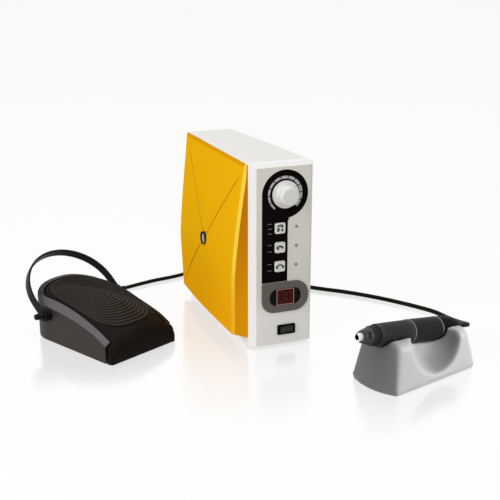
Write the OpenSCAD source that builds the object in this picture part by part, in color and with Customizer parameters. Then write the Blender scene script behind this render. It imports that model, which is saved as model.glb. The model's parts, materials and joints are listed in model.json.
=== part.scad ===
// Dental micromotor set: a tower control unit, a handpiece on its cradle and a foot pedal,
// joined by two cords.
// The origin is the centre of the control unit's footprint on the table.
// X runs to the right across its front, Y to the rear and Z up. Sizes are in millimetres.

/* [Control unit housing] */
// Width across the front
unit_w = 75; // [71:0.5:82]
// Width across the rear, where the right wall has drawn in
unit_rear_w = 58; // [57:0.5:66]
// Depth from front to rear
unit_d = 210; // [196:1:230]
// Height above the table
unit_h = 213; // [206:1:235]
// How far the right wall bows outwards
right_crown = 2; // [0.5:0.25:4]
// Wall of the main shell
shell_wall = 2.5; // [2:0.1:3.5]
// Chamfer along the shell's long edges
edge_chamfer = 2; // [0.5:0.25:2.4]
// Height of the rubber feet under the shell
foot_h = 2.5; // [1.5:0.25:4]
// Diameter of a rubber foot
foot_d = 12; // [8:0.5:16]
// Depth of the front bezel
bezel_d = 14; // [12:0.5:18]
// Wall of the front bezel
bezel_wall = 3; // [2.5:0.1:4]
// Flat bevel down the bezel's left edge
bezel_bevel = 7; // [4:0.5:9]
// Radius of the bezel's right edge
bezel_round = 4; // [2:0.5:6]
// Slope along the bezel's top edge
bezel_top_slope = 4; // [2:0.5:6]

/* [Side cover] */
// Greatest bulge of the cover beyond the shell
cover_bulge = 18.5; // [14:0.5:24]
// Bulge left along the top edge
cover_top_bulge = 2.2; // [1.2:0.1:3]
// Share of the bulge that the rear edge loses
cover_rear_fall = 0.28; // [0.15:0.01:0.4]
// Further share that the rear edge loses towards the bottom
cover_low_fall = 0.2; // [0:0.01:0.3]
// How far the lower front edge tucks up from the shell to the outside
cover_tuck = 5; // [2:0.5:9]
// Share of the height at which the creases cross
cover_cross = 0.54; // [0.48:0.01:0.58]
// Share of the height over which the bulge grows
cover_rise = 0.65; // [0.5:0.05:0.8]
// Wall of the cover
cover_wall = 2.5; // [2:0.1:3]
// Height of the cover's lower edge
cover_z0 = 12; // [8:0.5:18]
// Solid band at the top of the cover
cover_solid_top = 44; // [40:1:60]
// Depth of the diagonal creases
cover_crease = 0.5; // [0.2:0.1:1]
// Rounding along the cover's rim
cover_edge = 2.4; // [1:0.2:4]
// Diameter of the cover screw's head
hub_d = 14.5; // [11:0.5:18]
// Diameter of the cover screw's shank
hub_shank_d = 5; // [4:0.25:6]

/* [Front panel] */
// Place of the panel's column along X
panel_x = 3.5; // [2:0.25:5]
// Share of the unit's height at which the knob sits
knob_share = 0.836; // [0.83:0.002:0.846]
// Radius of the round part of the black overlay
overlay_r = 27.5; // [25:0.5:29]
// Width of the overlay's strip
overlay_strip_w = 31; // [27:0.5:34]
// Fillet between the round part and the strip
overlay_fillet = 7; // [4:0.5:10]
// Thickness of the overlay
overlay_t = 0.6; // [0.4:0.1:1]
// Side of a square key
key_w = 12.3; // [10:0.1:13]
// Corner radius of a key
key_r = 2; // [1:0.25:3]
// Height of a key above the overlay
key_proud = 1.4; // [1.2:0.1:2.5]
// Travel of a key
key_travel = 0.8; // [0.4:0.1:1]
// Share of the unit's height at which the first key sits
key_share = 0.657; // [0.65:0.001:0.67]
// Share of the unit's height from key to key
key_step = 0.104; // [0.09:0.001:0.108]
// Distance of the keys from the panel's column
key_shift = -6; // [-8:0.5:-4]
// Distance of the indicator lamps from the panel's column
lamp_shift = 14; // [12:0.5:16]
// Diameter of an indicator lamp
lamp_d = 3.4; // [2.5:0.1:4]
// Knob diameter at its skirt
knob_d = 31; // [26:0.5:34]
// Knob cap diameter
knob_cap_d = 23; // [18:0.5:24]
// Knob height above the overlay
knob_h = 15; // [12:0.5:18]
// Share of the unit's height at which the display sits
display_share = 0.277; // [0.265:0.001:0.29]
// Width of the display surround
surround_w = 57; // [52:0.5:58]
// Height of the display surround
surround_h = 36; // [32:0.5:38]
// Thickness of the display surround
surround_t = 2.6; // [2:0.1:3.5]
// Width of the display window
window_w = 38; // [34:0.5:42]
// Height of the display window
window_h = 20; // [17:0.5:23]
// Width of the digits' block
digits_w = 21; // [18:0.5:24]
// Height of the digits' block
digits_h = 15; // [12:0.5:16]
// Height of the power switch's centre
switch_z = 19.4; // [18:0.2:22]
// Width of the power switch
switch_w = 21.6; // [19:0.2:24]
// Height of the power switch
switch_h = 11.7; // [10.5:0.1:13]
// Tilt of the rocker to each side
rocker_tilt = 7; // [5:0.5:9]

/* [Rear and inside] */
// Thickness of the rear panel
rear_t = 2.5; // [2:0.1:3.5]
// How far the rear panel lies inside the shell's rim
rear_inset = 1.5; // [1:0.25:3]
// Height of the two cord sockets
socket_z = 38; // [34:0.5:42]
// Place of the pedal socket along X
pedal_socket_x = -20; // [-22:0.5:-18]
// Place of the handpiece socket along X
hand_socket_x = 5; // [3:0.5:7]
// Outer diameter of a socket's barrel
socket_d = 15; // [13:0.5:16]
// Diameter of a socket's flange
socket_flange_d = 19; // [17:0.5:22]
// Height of the mains inlet's centre
inlet_z = 108; // [100:1:130]
// Width of the mains inlet's flange
inlet_w = 46; // [42:0.5:48]
// Length of the transformer along Y
core_l = 52; // [44:1:60]
// Width of the transformer along X
core_w = 42; // [36:1:46]
// Height of the transformer
core_h = 46; // [40:1:56]

/* [Handpiece] */
// Length of the collet in front of the nose
tip_l = 5.5; // [4:0.5:8]
// Radius of the collet
tip_r = 4.6; // [4:0.1:5]
// Radius of the bur bore
bur_r = 1.19; // [1.1:0.01:1.6]
// Length of the nose cone
cone_l = 11; // [8:0.5:14]
// Radius of the nose cone's front
cone_r0 = 6.4; // [5.8:0.1:7.2]
// Length of the chuck ring
chuck_l = 9; // [7:0.5:12]
// Radius of the chuck ring
chuck_r = 10.4; // [9.8:0.1:11]
// Length of the front grip
grip_l = 49; // [45:0.5:56]
// Radius of the grip's front end
grip_r0 = 11.8; // [11.2:0.1:12.2]
// Radius of the grip's rear end
grip_r1 = 12.6; // [12.2:0.1:12.8]
// Width of a bright trim ring
trim_w = 2; // [1:0.25:3]
// Length of the motor sleeve
sleeve_l = 42; // [38:0.5:48]
// Radius of the motor sleeve
sleeve_r = 13; // [12.8:0.1:14]
// Length of the tail cap
tail_l = 30; // [26:0.5:34]
// Radius of the tail cap's end
tail_r1 = 9.25; // [7.5:0.25:10.5]
// Length of the cord boot
boot_l = 12; // [10:0.5:14]
// Radius of the spindle
spindle_r = 3; // [2.5:0.1:3.3]
// Radius of the bearings' outer rings
bearing_r = 8; // [7:0.1:8.4]

/* [Cradle] */
// Length of the cradle's straight sides
cradle_l = 122; // [110:1:132]
// Width of the cradle's foot
cradle_w = 66; // [60:1:74]
// How far each end bulges
cradle_bulge = 8.5; // [3:0.5:11]
// Height of the front horns
cradle_h = 52; // [49:0.5:55]
// Height of the rear horns
cradle_rear_h = 46; // [43:0.5:49]
// Draft of the ends from foot to top
cradle_end_draft = 8; // [6:0.5:13]
// Draft of the sides from foot to top
cradle_side_draft = 6; // [3:0.5:9]
// Rounding of the front horns
horn_r = 8; // [5:0.5:9]
// Rounding of the rear horns
rear_horn_r = 12; // [9:0.5:13]
// Radius of the side scoops
scoop_r = 42; // [38:0.5:44]
// Distance of a scoop's centre outside the cradle's side
scoop_out = 12; // [10:0.5:16]
// Distance of a scoop's centre behind the cradle's middle
scoop_x = 5; // [1:0.5:9]
// Height of a scoop's centre
scoop_z = 49.5; // [47:0.5:52]

/* [Foot pedal] */
// Width of the pedal
pedal_w = 98; // [90:1:108]
// Reach of the pedal to the rear
pedal_rear = 36; // [30:1:42]
// Reach of the pedal to the toe
pedal_front = 118; // [112:1:126]
// Radius of the rear corners
pedal_corner = 38; // [28:1:42]
// Radius of the toe's corners
toe_corner = 6; // [4:0.5:9]
// Rounding of the toe, seen from the side
toe_r = 16; // [12:0.5:20]
// Height of the side walls at the rear
pedal_wall_h = 42; // [38:0.5:48]
// Radius of the slope from rear to toe
slope_r = 227; // [200:1:260]
// Height of the bevelled band
band_h = 7.5; // [5:0.25:10]
// Inset of the bevelled band
band_in = 7; // [5:0.25:10]
// Crown of the tread across its width
tread_crown = 7; // [4:0.25:9]
// Wall of the pedal base
pedal_wall = 2.5; // [2:0.1:3.5]
// Gap between the tread and the base
tread_gap = 0.8; // [0.5:0.1:1.2]
// Wall of the tread
tread_wall = 3; // [2.5:0.1:4]
// Depth of the tread's skirt inside the base
tread_skirt = 9; // [8:0.5:12]
// Distance of the hinge pin from the origin of the pedal
hinge_s = 100; // [97:0.5:103]
// Height of the hinge pin
hinge_z = 9; // [8:0.25:11]
// Radius of the hinge pin
hinge_r = 2; // [1.5:0.1:2.5]
// Number of oval ribs on the mat
rib_count = 18; // [10:1:20]
// Height of a rib
rib_h = 1.1; // [0.6:0.1:1.6]
// Half length of the ribbed mat
mat_l = 62.5; // [54:0.5:64]
// Bare edge of the tread beside the mat
mat_edge = 1.4; // [0.8:0.1:8]
// Radius of the handle's arch at the middle of the strap
arch_r = 56.5; // [55.5:0.5:62]
// Straight part of each handle leg
leg_l = 18; // [14:0.5:24]
// Thickness of the handle strap
strap_t = 2.5; // [2:0.1:3]
// Width of the handle strap
strap_w = 10; // [8:0.5:12]
// Lean of the handle to the rear
handle_lean = 50; // [44:1:56]
// Place of the handle's pivot from the origin of the pedal
pivot_s = 8; // [6:0.5:10]
// Height of the handle's pivot
pivot_z = 34; // [31:0.5:35]

/* [Cords] */
// Diameter of the handpiece cord
hand_cord_d = 5.5; // [5:0.1:5.6]
// Diameter of the pedal cord
pedal_cord_d = 5; // [4.5:0.1:5.2]
// Free space between neighbouring turns of a coil
turn_gap = 0.55; // [0.5:0.05:0.7]
// Thickness of the tie round a coil
tie_t = 0.8; // [0.5:0.1:1.2]
// Width of the tie
tie_w = 9; // [6:0.5:12]

/* [Hidden] */
$fn = 48;

// Clearances: a seat that stays put, a running fit, a free gap, and the overlap of a cut past a face
seat = 0.05;
run = 0.06;
free = 0.35;
past = 1;

// Control unit, derived places
front_y = -unit_d / 2;
rear_y = unit_d / 2;
left_x = -unit_w / 2;
shell_y = front_y + bezel_d;
rear_face_y = rear_y - rear_inset;
plan_steps = 10;
floor_z = foot_h + shell_wall;
knob_z = unit_h * knob_share;
display_z = unit_h * display_share;
key_x = panel_x + key_shift;
key_z = [for (i = [0:2]) unit_h * (key_share - key_step * i)];
surround_x = panel_x - overlay_r + surround_w / 2;
surround_sink = 1;
window_t = 2;
board_depth = bezel_d + 2;
board_t = 1.6;
board_w = 52;
board_low = display_z - surround_h / 2;
board_high = knob_z + 18;
post_r = 2.6;
post_inset = 3.5;
switch_x = panel_x + 2.7;
switch_flange = 1.5;
switch_margin = 1.2;
switch_l = 16;
rocker_w = switch_w - 4.6;
rocker_h = switch_h - 4.2;
rocker_pin_r = 1;
rocker_sink = 2.2;
plunger_gap = 0.3;
plunger_h = 5.6;
plunger_r = 1.7;
key_switch_w = 6;
key_switch_h = 3.5;
key_flange = 1.1;
key_flange_t = 1.2;
key_stem_l = board_depth - bezel_wall - key_flange_t - plunger_h;
shaft_r = 3;
bush_r = 4.5;
pot_r = 9;
pot_l = 8;

// Cover, derived places
cover_y0 = front_y + bezel_bevel + free;
cover_y1 = rear_y;
cover_z1 = unit_h - 0.6;
cover_back = left_x - 0.05;
cover_n = 16;
hub_y = (cover_y0 + cover_y1) / 2;
hub_z = lerp(cover_z1, cover_z0, cover_cross);
hub_sink = 1.2;
hub_dome = 3.2;
hub_boss_r = hub_shank_d / 2 + 4;
hub_screw_in = 8;

// Handpiece, stations along its axis from the collet's tip
cone_a = tip_l;
chuck_a = cone_a + cone_l;
grip_a = chuck_a + chuck_l;
trim_a = grip_a + grip_l;
sleeve_a = trim_a + trim_w;
trim2_a = sleeve_a + sleeve_l;
tail_a = trim2_a + trim_w;
end_a = tail_a + tail_l;
cone_r1 = chuck_r - 0.9;
spigot_r = 7.5;
spigot_in = 5;
spindle_head_r = 4.6;
bearing_w = 5;
sleeve_bore = 11;
comm_r = 4;
comm_l = 6;
shank_l = 12.5;
bur_depth = tip_l + shank_l - 2;
mouth = 1.6;

// Cradle and handpiece places, with the cradle's turn about Z and the handpiece's nose-up tilt
cradle_pos = [104, -224.9, 0];
cradle_turn = 17;
hand_tilt = 9.5;
nose_t = -88.1;
nose_z = 62.4;
hand_dir = [cos(hand_tilt) * cos(cradle_turn), cos(hand_tilt) * sin(cradle_turn), -sin(hand_tilt)];
hand_pos = [cradle_pos[0] + nose_t * cos(cradle_turn), cradle_pos[1] + nose_t * sin(cradle_turn), nose_z];

// Pedal place and turn
pedal_pos = [-203.1, 34.8, 0];
pedal_turn = -63.5;
pedal_floor = 3;
wall_front = 107;
toe_gap = 1.4;
floor_gap = 1.2;
boss_r = 8;
eye_r = 7.5;
pivot_r = 2.5;
leg_in = arch_r - strap_t / 2;
knob_l = 9;
screw_head_r = 5;
screw_head_t = 2;
screw_neck_r = 3.6;
boot_z = 16;
boot_out = 14;
spring_s = 22;
spring_r = 6;
spring_wire = 1.3;
spring_turns = 6;
spring_seat = 25;
micro_s = -8;
micro_l = 24;
micro_w = 12;
micro_z = 35;
toe_c = pedal_front - toe_r;
toe_cut = 0.5;
tread_off = band_in + tread_gap;
lug_w = 5;
lug_room = 1.7;
lug_gap = 1;
lug_reach = 40;

// Cord ends, routes and coils
plug_l = 35;
plug_face = rear_face_y + 1.5;
plug_end = plug_face + plug_l;
hand_coil_at = [112, 202];
hand_coil_r = 38;
hand_coil_turns = 5.75;
pedal_coil_at = [30, 200.5];
pedal_coil_r = 36.5;
pedal_coil_turns = 6.75;
hand_low = tie_t + 0.3 + hand_cord_d / 2;
hand_high = hand_low + hand_cord_d + turn_gap;
pedal_low = tie_t + 0.3 + pedal_cord_d / 2;
pedal_high = pedal_low + pedal_cord_d + turn_gap;
hand_rest = hand_cord_d / 2;
pedal_rest = pedal_cord_d / 2;

// Free stretch of the pedal cord, from the boot to the coil
pedal_route = concat([pedal_point(-pedal_rear - boot_out, 0, boot_z)], [
    [-229, 87, 15], [-230, 97, 10.5], [-226, 108, 6], [-217, 117, 3.5], [-204, 124, pedal_rest],
    [-187, 129, pedal_rest], [-166, 133, pedal_rest], [-142, 138, pedal_rest], [-117, 145, pedal_rest],
    [-94, 153, pedal_rest], [-71, 160, pedal_rest], [-49, 164, pedal_rest], [-31, 169, pedal_rest],
    [-18, 177, pedal_rest + 0.3], [-9, 188, pedal_low],
    [pedal_coil_at[0] - pedal_coil_r, pedal_coil_at[1] - 6, pedal_low],
    [pedal_coil_at[0] - pedal_coil_r, pedal_coil_at[1], pedal_low]]);
// Lead of the pedal cord, from its plug to the coil
pedal_lead_route = [
    [pedal_socket_x, plug_end, socket_z], [pedal_socket_x, plug_end + 6, socket_z - 0.5],
    [-18.5, 152, 34.5], [-13, 160, 28], [-4, 164, 20], [6, 165, 14], [16, 164.5, pedal_high + 1],
    [pedal_coil_at[0] - 6, pedal_coil_at[1] - pedal_coil_r, pedal_high],
    [pedal_coil_at[0], pedal_coil_at[1] - pedal_coil_r, pedal_high]];
// Free stretch of the handpiece cord, from the boot to the coil
hand_route = concat([hand_point(end_a + boot_l), hand_point(end_a + boot_l + 8)], [
    [187, -197.5, 32], [192.5, -190.5, 29], [197, -181.5, 25.5], [202, -171, 21.5], [207, -159, 17],
    [212, -146, 12.5], [216, -132, 8.5], [219, -118, 5], [220, -102, hand_rest], [216, -82, hand_rest],
    [206, -61, hand_rest],
    [195, -42, hand_rest], [183, -23, hand_rest], [170, -5, hand_rest], [156, 12, hand_rest],
    [142, 27, hand_rest], [128, 40, hand_rest], [115, 53, hand_rest], [104, 67, hand_rest],
    [95, 84, hand_rest], [88, 104, hand_rest], [82, 125, hand_rest], [77, 147, hand_rest],
    [75, 168, hand_rest + 0.3], [74, 185, hand_low - 0.2],
    [hand_coil_at[0] - hand_coil_r, hand_coil_at[1] - 6, hand_low],
    [hand_coil_at[0] - hand_coil_r, hand_coil_at[1], hand_low]]);
// Lead of the handpiece cord, from its plug to the coil
hand_lead_route = [
    [hand_socket_x, plug_end, socket_z], [hand_socket_x, plug_end + 6, socket_z - 0.5],
    [7, 150, 36], [15, 156, 32.5], [29, 157.5, 28], [45, 157.5, 23], [62, 158.5, 17.5],
    [80, 161, 13], [95, 163.5, hand_high + 0.6],
    [hand_coil_at[0] - 6, hand_coil_at[1] - hand_coil_r, hand_high],
    [hand_coil_at[0], hand_coil_at[1] - hand_coil_r, hand_high]];

// Shared functions
function lerp(a, b, t) = a + (b - a) * t;
function unit(v) = v / norm(v);
function arc(c, r, a0, a1, n) = [for (i = [0:n]) c + r * [cos(lerp(a0, a1, i / n)), sin(lerp(a0, a1,
    i / n))]];
// A rectangle about the origin with its own radius at each corner: lower right, upper right,
// upper left, lower left
function rounded4(w, h, r, n = 6) = concat(
    arc([w / 2 - r[0], -h / 2 + r[0]], r[0], 270, 360, n), arc([w / 2 - r[1], h / 2 - r[1]], r[1], 0,
        90, n),
    arc([-w / 2 + r[2], h / 2 - r[2]], r[2], 90, 180, n), arc([-w / 2 + r[3], -h / 2 + r[3]], r[3],
        180, 270, n));
function rounded(w, h, r, n = 6) = rounded4(w, h, [r, r, r, r], n);

// Places in the frame
function pedal_point(s, v, z) = [
    pedal_pos[0] + s * cos(pedal_turn) - v * sin(pedal_turn),
    pedal_pos[1] + s * sin(pedal_turn) + v * cos(pedal_turn), z];
function hand_point(a) = hand_pos + a * hand_dir;
module on_front(x, z, depth = 0) translate([x, front_y + depth, z]) rotate([90, 0, 0]) children();
module on_rear(x, z, depth = 0) translate([x, rear_face_y - depth, z]) rotate([-90, 0, 0]) children();
module on_left(y, z) translate([left_x, y, z]) rotate([0, -90, 0]) children();
module in_hand(a = 0) translate(hand_pos) rotate([0, 90 + hand_tilt, cradle_turn]) translate([0, 0,
    a]) children();
module in_cradle() translate(cradle_pos) rotate([0, 0, cradle_turn]) children();
module in_pedal() translate(pedal_pos) rotate([0, 0, pedal_turn]) children();
module ring(r_out, r_in, h) difference() {
    cylinder(r = r_out, h = h);
    translate([0, 0, -past]) cylinder(r = r_in, h = h + 2 * past);
}

// Tubes: rings square to the path, joined into one closed skin
function tangent(p, i) = unit(i == 0 ? p[1] - p[0] : i == len(p) - 1 ? p[i] - p[i - 1] : p[i + 1] - p[i - 1]);
function side_of(t) = abs(t[2]) > 0.95 ? [1, 0, 0] : unit(cross([0, 0, 1], t));
function tube_ring(p, i, r, n) = let (t = tangent(p, i), a = side_of(t), b = cross(t, a))
    [for (k = [0:n - 1]) p[i] + r * (cos(360 * k / n + 180 / n) * a + sin(360 * k / n + 180 / n) * b)];
// Points along a smooth curve through the route, with a few steps between each pair
function spline_at(p, i, t) = let (
    a = p[max(i - 1, 0)], b = p[i], c = p[i + 1], d = p[min(i + 2, len(p) - 1)])
    0.5 * (2 * b + (c - a) * t + (2 * a - 5 * b + 4 * c - d) * t * t + (3 * b - a - 3 * c + d) * t * t * t);
function smooth_route(p, steps) = concat(
    [for (i = [0:len(p) - 2]) for (k = [0:steps - 1]) spline_at(p, i, k / steps)], [p[len(p) - 1]]);
function route_length(p) = len(p) < 2 ? 0 : norm_sum(p, len(p) - 1);
function norm_sum(p, i) = i == 0 ? 0 : norm(p[i] - p[i - 1]) + norm_sum(p, i - 1);
module tube(p, r, n) {
    last = len(p) - 1;
    points = [for (i = [0:last]) each tube_ring(p, i, r, n)];
    walls = [for (i = [0:last - 1]) for (k = [0:n - 1]) let (
        a = i * n + k, b = i * n + (k + 1) % n) each [[a, b, b + n], [a, b + n, a + n]]];
    caps = [[for (k = [n - 1:-1:0]) k], [for (k = [0:n - 1]) last * n + k]];
    polyhedron(points, [for (f = concat(walls, caps)) [for (j = [len(f) - 1:-1:0]) f[j]]]);
}

// A coil of two layers: in along the table, up a layer where the spiral turns back, and out again
coil_rings = 24;
function ease(t) = t <= 0 ? 0 : t >= 1 ? 1 : (1 - cos(180 * t)) / 2;
function coil_point(at, r, turns, pitch, low, f) = let (
    turn = f * turns, inward = min(turn, turns - turn), reach = r - pitch * inward,
        angle = 180 - 360 * turn)
    [at[0] + reach * cos(angle), at[1] + reach * sin(angle),
        low + pitch * ease((turn - turns / 2 + 0.25) / 0.5)];
function coil_path(at, r, turns, pitch, low, d) = let (
    count = round(turns * coil_rings),
    bare = [for (i = [0:count]) coil_point(at, r, turns, pitch, low, i / count)])
    [for (i = [0:count]) i == 1 ? bare[0] + [0, d, 0] : i == count - 1 ? bare[count] + [d, 0, 0] : bare[i]];
// Least distance between points of a path that lie at least half a turn apart
function least_gap(p, d) = min([for (i = [0:len(p) - 1]) for (k = [i + floor(coil_rings / 2):1:len(p) - 1])
    norm(p[i] - p[k])]) - d;
hand_coil_path = coil_path(
    hand_coil_at, hand_coil_r, hand_coil_turns, hand_cord_d + turn_gap, hand_low, hand_cord_d);
pedal_coil_path = coil_path(
    pedal_coil_at, pedal_coil_r, pedal_coil_turns, pedal_cord_d + turn_gap, pedal_low, pedal_cord_d);
echo(handpiece_coil_gap = least_gap(hand_coil_path, hand_cord_d));
echo(pedal_coil_gap = least_gap(pedal_coil_path, pedal_cord_d));
echo(handpiece_cord_length = route_length(smooth_route(hand_route, 4)) + route_length(hand_coil_path)
    + route_length(smooth_route(hand_lead_route, 4)));
echo(pedal_cord_length = route_length(smooth_route(pedal_route, 4)) + route_length(pedal_coil_path)
    + route_length(smooth_route(pedal_lead_route, 4)));

// Control unit housing
function right_x(y) = let (s = (y - front_y) / unit_d)
    left_x + lerp(unit_w, unit_rear_w, s) + right_crown * 4 * s * (1 - s);
function plan(y0, y1, off) = concat([[left_x + off, y1], [left_x + off, y0]],
    [for (i = [0:plan_steps]) let (y = lerp(y0, y1, i / plan_steps)) [right_x(y) - off, y]]);
function bezel_outline(off, back) = concat(
    [[left_x + off, back], [left_x + off, front_y + bezel_bevel + off * 0.4],
     [left_x + bezel_bevel + off * 0.4, front_y + off]],
    arc([right_x(front_y) - bezel_round, front_y + bezel_round], max(bezel_round - off, 0.5), 270, 360, 5),
    [[right_x(back) - off, back]]);
foot_spots = [
    for (sx = [0, 1]) for (sy = [0, 1]) let (
        y = sy == 0 ? shell_y + foot_d : rear_y - foot_d)
        [sx == 0 ? left_x + foot_d : right_x(y) - foot_d, y]];
foot_sink = 1;

module main_shell() color([0.93, 0.92, 0.9]) difference() {
    union() {
        difference() {
            hull() {
                translate([0, 0, foot_h + edge_chamfer])
                    linear_extrude(unit_h - foot_h - 2 * edge_chamfer) polygon(plan(shell_y, rear_y, 0));
                translate([0, 0, foot_h])
                    linear_extrude(unit_h - foot_h) polygon(plan(shell_y, rear_y, edge_chamfer));
            }
            translate([0, 0, floor_z]) linear_extrude(unit_h - floor_z - shell_wall)
                polygon(plan(shell_y - past, rear_y + past, shell_wall));
        }
        on_left(hub_y, hub_z) translate([0, 0, -shell_wall - hub_screw_in])
            cylinder(r = hub_boss_r, h = shell_wall + hub_screw_in);
    }
    on_left(hub_y, hub_z) translate([0, 0, -shell_wall - hub_screw_in - past])
        cylinder(d = hub_shank_d + 2 * seat, h = shell_wall + hub_screw_in + 2 * past);
    for (p = foot_spots) translate([p[0], p[1], foot_h - past]) cylinder(d = foot_d + 2 * seat,
        h = past + foot_sink);
}

module rubber_feet() color([0.1, 0.1, 0.1])
    for (p = foot_spots) translate([p[0], p[1], 0]) cylinder(d = foot_d, h = foot_h + foot_sink);

module front_bezel() color([0.9, 0.89, 0.87]) difference() {
    union() {
        difference() {
            translate([0, 0, foot_h]) linear_extrude(unit_h - foot_h) polygon(bezel_outline(0, shell_y));
            translate([0, 0, foot_h + bezel_wall]) linear_extrude(unit_h - foot_h - 2 * bezel_wall)
                polygon(bezel_outline(bezel_wall, shell_y + past));
        }
        for (p = post_spots()) on_front(p[0], p[1], board_depth)
            cylinder(r = post_r, h = board_depth - bezel_wall / 2);
    }
    translate([left_x - past, front_y, unit_h - bezel_top_slope]) rotate([45, 0, 0])
        cube([unit_w + 2 * past, 2 * bezel_top_slope, 2 * bezel_top_slope]);
    on_front(0, 0) translate([0, 0, -overlay_t]) linear_extrude(overlay_t + past) overlay_shape(seat);
    on_front(surround_x, display_z) translate([0, 0, -surround_sink])
        linear_extrude(surround_sink + past) polygon(surround_outline(seat));
    on_front(surround_x, display_z, bezel_wall + past)
        translate([0, 0, bezel_wall / 2 + past]) cube([digits_w + 2 * free, digits_h + 2 * free,
            bezel_wall + 4 * past], center = true);
    for (z = key_z) {
        on_front(key_x, z, bezel_wall + past) linear_extrude(bezel_wall + 2 * past)
            polygon(rounded(key_w + 2 * free, key_w + 2 * free, key_r + free));
        on_front(panel_x + lamp_shift, z, bezel_wall + past)
            cylinder(d = lamp_d + 2 * seat, h = bezel_wall + 2 * past);
    }
    on_front(panel_x, knob_z, bezel_wall + past) cylinder(r = bush_r + seat, h = bezel_wall + 2 * past);
    on_front(switch_x, switch_z, bezel_wall / 2) cube(
        [switch_w - 2 * switch_margin + 2 * seat, switch_h - 2 * switch_margin + 2 * seat,
            4 * bezel_wall], center = true);
}
// Centres of the posts that carry the front circuit board
function post_spots() = [for (sx = [-1, 1]) for (z = [board_low + post_inset, board_high - post_inset])
    [panel_x + sx * (board_w / 2 - post_inset), z]];

// The overlay: a disc round the knob and a strip down to the display, with a fillet between them
module overlay_shape(grow) {
    strip_x = panel_x - overlay_r;
    low = display_z + surround_h / 2 + free;
    right = strip_x + overlay_strip_w;
    reach = right + overlay_fillet - panel_x;
    drop = sqrt(pow(overlay_r + overlay_fillet, 2) - reach * reach);
    translate([panel_x, knob_z]) circle(r = overlay_r + grow);
    translate([strip_x - grow, low - grow]) square([overlay_strip_w + 2 * grow, knob_z - low + grow]);
    difference() {
        translate([panel_x, knob_z - drop]) square([right + overlay_fillet - panel_x, drop]);
        translate([right + overlay_fillet, knob_z - drop]) circle(r = overlay_fillet - grow);
        translate([panel_x, knob_z]) square([2 * overlay_r, 2 * overlay_r], center = true);
    }
}
module panel_overlay() color([0.05, 0.05, 0.05]) difference() {
    on_front(0, 0) translate([0, 0, -overlay_t]) linear_extrude(overlay_t) difference() {
        overlay_shape(0);
        translate([panel_x, knob_z]) circle(r = bush_r + seat);
        for (z = key_z) translate([key_x, z])
            polygon(rounded(key_w + 2 * free, key_w + 2 * free, key_r + free));
    }
}

// Display: a soft surround, a lens and the block of digits behind it
function surround_outline(grow) = rounded4(surround_w + 2 * grow, surround_h + 2 * grow,
    [surround_h / 2 - 1, surround_h / 2 - 1, 2, surround_h / 2 - 3], 8);
module display_surround() color([0.3, 0.28, 0.26]) on_front(surround_x, display_z) difference() {
    translate([0, 0, -surround_sink]) linear_extrude(surround_t) polygon(surround_outline(0));
    translate([0, 0, -surround_sink - past]) linear_extrude(surround_t + 2 * past)
        polygon(rounded(window_w + 2 * seat, window_h + 2 * seat, window_h / 2 - 1, 8));
}
module display_window() color([0.16, 0.03, 0.03]) on_front(surround_x, display_z)
    translate([0, 0, -surround_sink]) linear_extrude(window_t) polygon(rounded(window_w, window_h,
        window_h / 2 - 1, 8));
module display_module() color([0.25, 0.25, 0.25]) on_front(surround_x, display_z, board_depth)
    translate([-digits_w / 2, -digits_h / 2, 0]) cube([digits_w, digits_h,
        board_depth - surround_sink - free]);

// Front circuit board with its three key switches
module front_board() color([0.1, 0.35, 0.15]) {
    on_front(panel_x, 0, board_depth + board_t) difference() {
        translate([-board_w / 2, board_low, 0]) cube([board_w, board_high - board_low, board_t]);
        for (p = post_spots()) translate([p[0] - panel_x, p[1], -past]) cylinder(r = 1.2,
            h = board_t + 2 * past);
    }
    for (z = key_z) on_front(key_x, z, board_depth) {
        translate([-key_switch_w / 2, -key_switch_w / 2, -board_t / 2])
            cube([key_switch_w, key_switch_w, key_switch_h + board_t / 2]);
        cylinder(r = plunger_r, h = plunger_h - key_travel - plunger_gap);
    }
}
module key_at(z) color([0.92, 0.92, 0.9]) on_front(key_x, z, bezel_wall + free) {
    linear_extrude(bezel_wall + free + key_proud) polygon(rounded(key_w, key_w, key_r));
    translate([0, 0, -key_flange_t]) linear_extrude(key_flange_t)
        polygon(rounded(key_w + 2 * key_flange, key_w + 2 * key_flange, key_r + key_flange));
    translate([0, 0, -key_flange_t - key_stem_l + free]) cylinder(r = 2, h = key_stem_l);
}
module upper_key() key_at(key_z[0]);
module middle_key() key_at(key_z[1]);
module lower_key() key_at(key_z[2]);
module indicator_lamps() color([0.6, 0.6, 0.58]) for (z = key_z) on_front(panel_x + lamp_shift, z,
    board_depth)
    cylinder(d = lamp_d, h = board_depth + 0.4);

// Speed control: a potentiometer in the bezel, its shaft and the knob
module potentiometer() color([0.55, 0.56, 0.58]) on_front(panel_x, knob_z) difference() {
    union() {
        translate([0, 0, -bezel_wall - pot_l]) cylinder(r = pot_r, h = pot_l);
        translate([0, 0, -bezel_wall]) cylinder(r = bush_r, h = bezel_wall + 3);
    }
    translate([0, 0, -bezel_wall - pot_l + 2]) cylinder(r = shaft_r + run, h = bezel_wall + pot_l + 3);
}
module knob_shaft() color([0.75, 0.75, 0.77]) on_front(panel_x, knob_z)
    translate([0, 0, -bezel_wall - pot_l + 2 + free]) cylinder(r = shaft_r,
        h = bezel_wall + pot_l + knob_h - 6);
function knob_profile() = concat([[0, free], [knob_d / 2, free], [knob_d / 2, 2.4]],
    arc([knob_cap_d / 2 + 2.2, 4.8], 2.2, 270, 180, 4), [[knob_cap_d / 2, 4.8]],
    arc([knob_cap_d / 2 - 4, knob_h - 4], 4, 0, 80, 6), [[0, knob_h]]);
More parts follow.
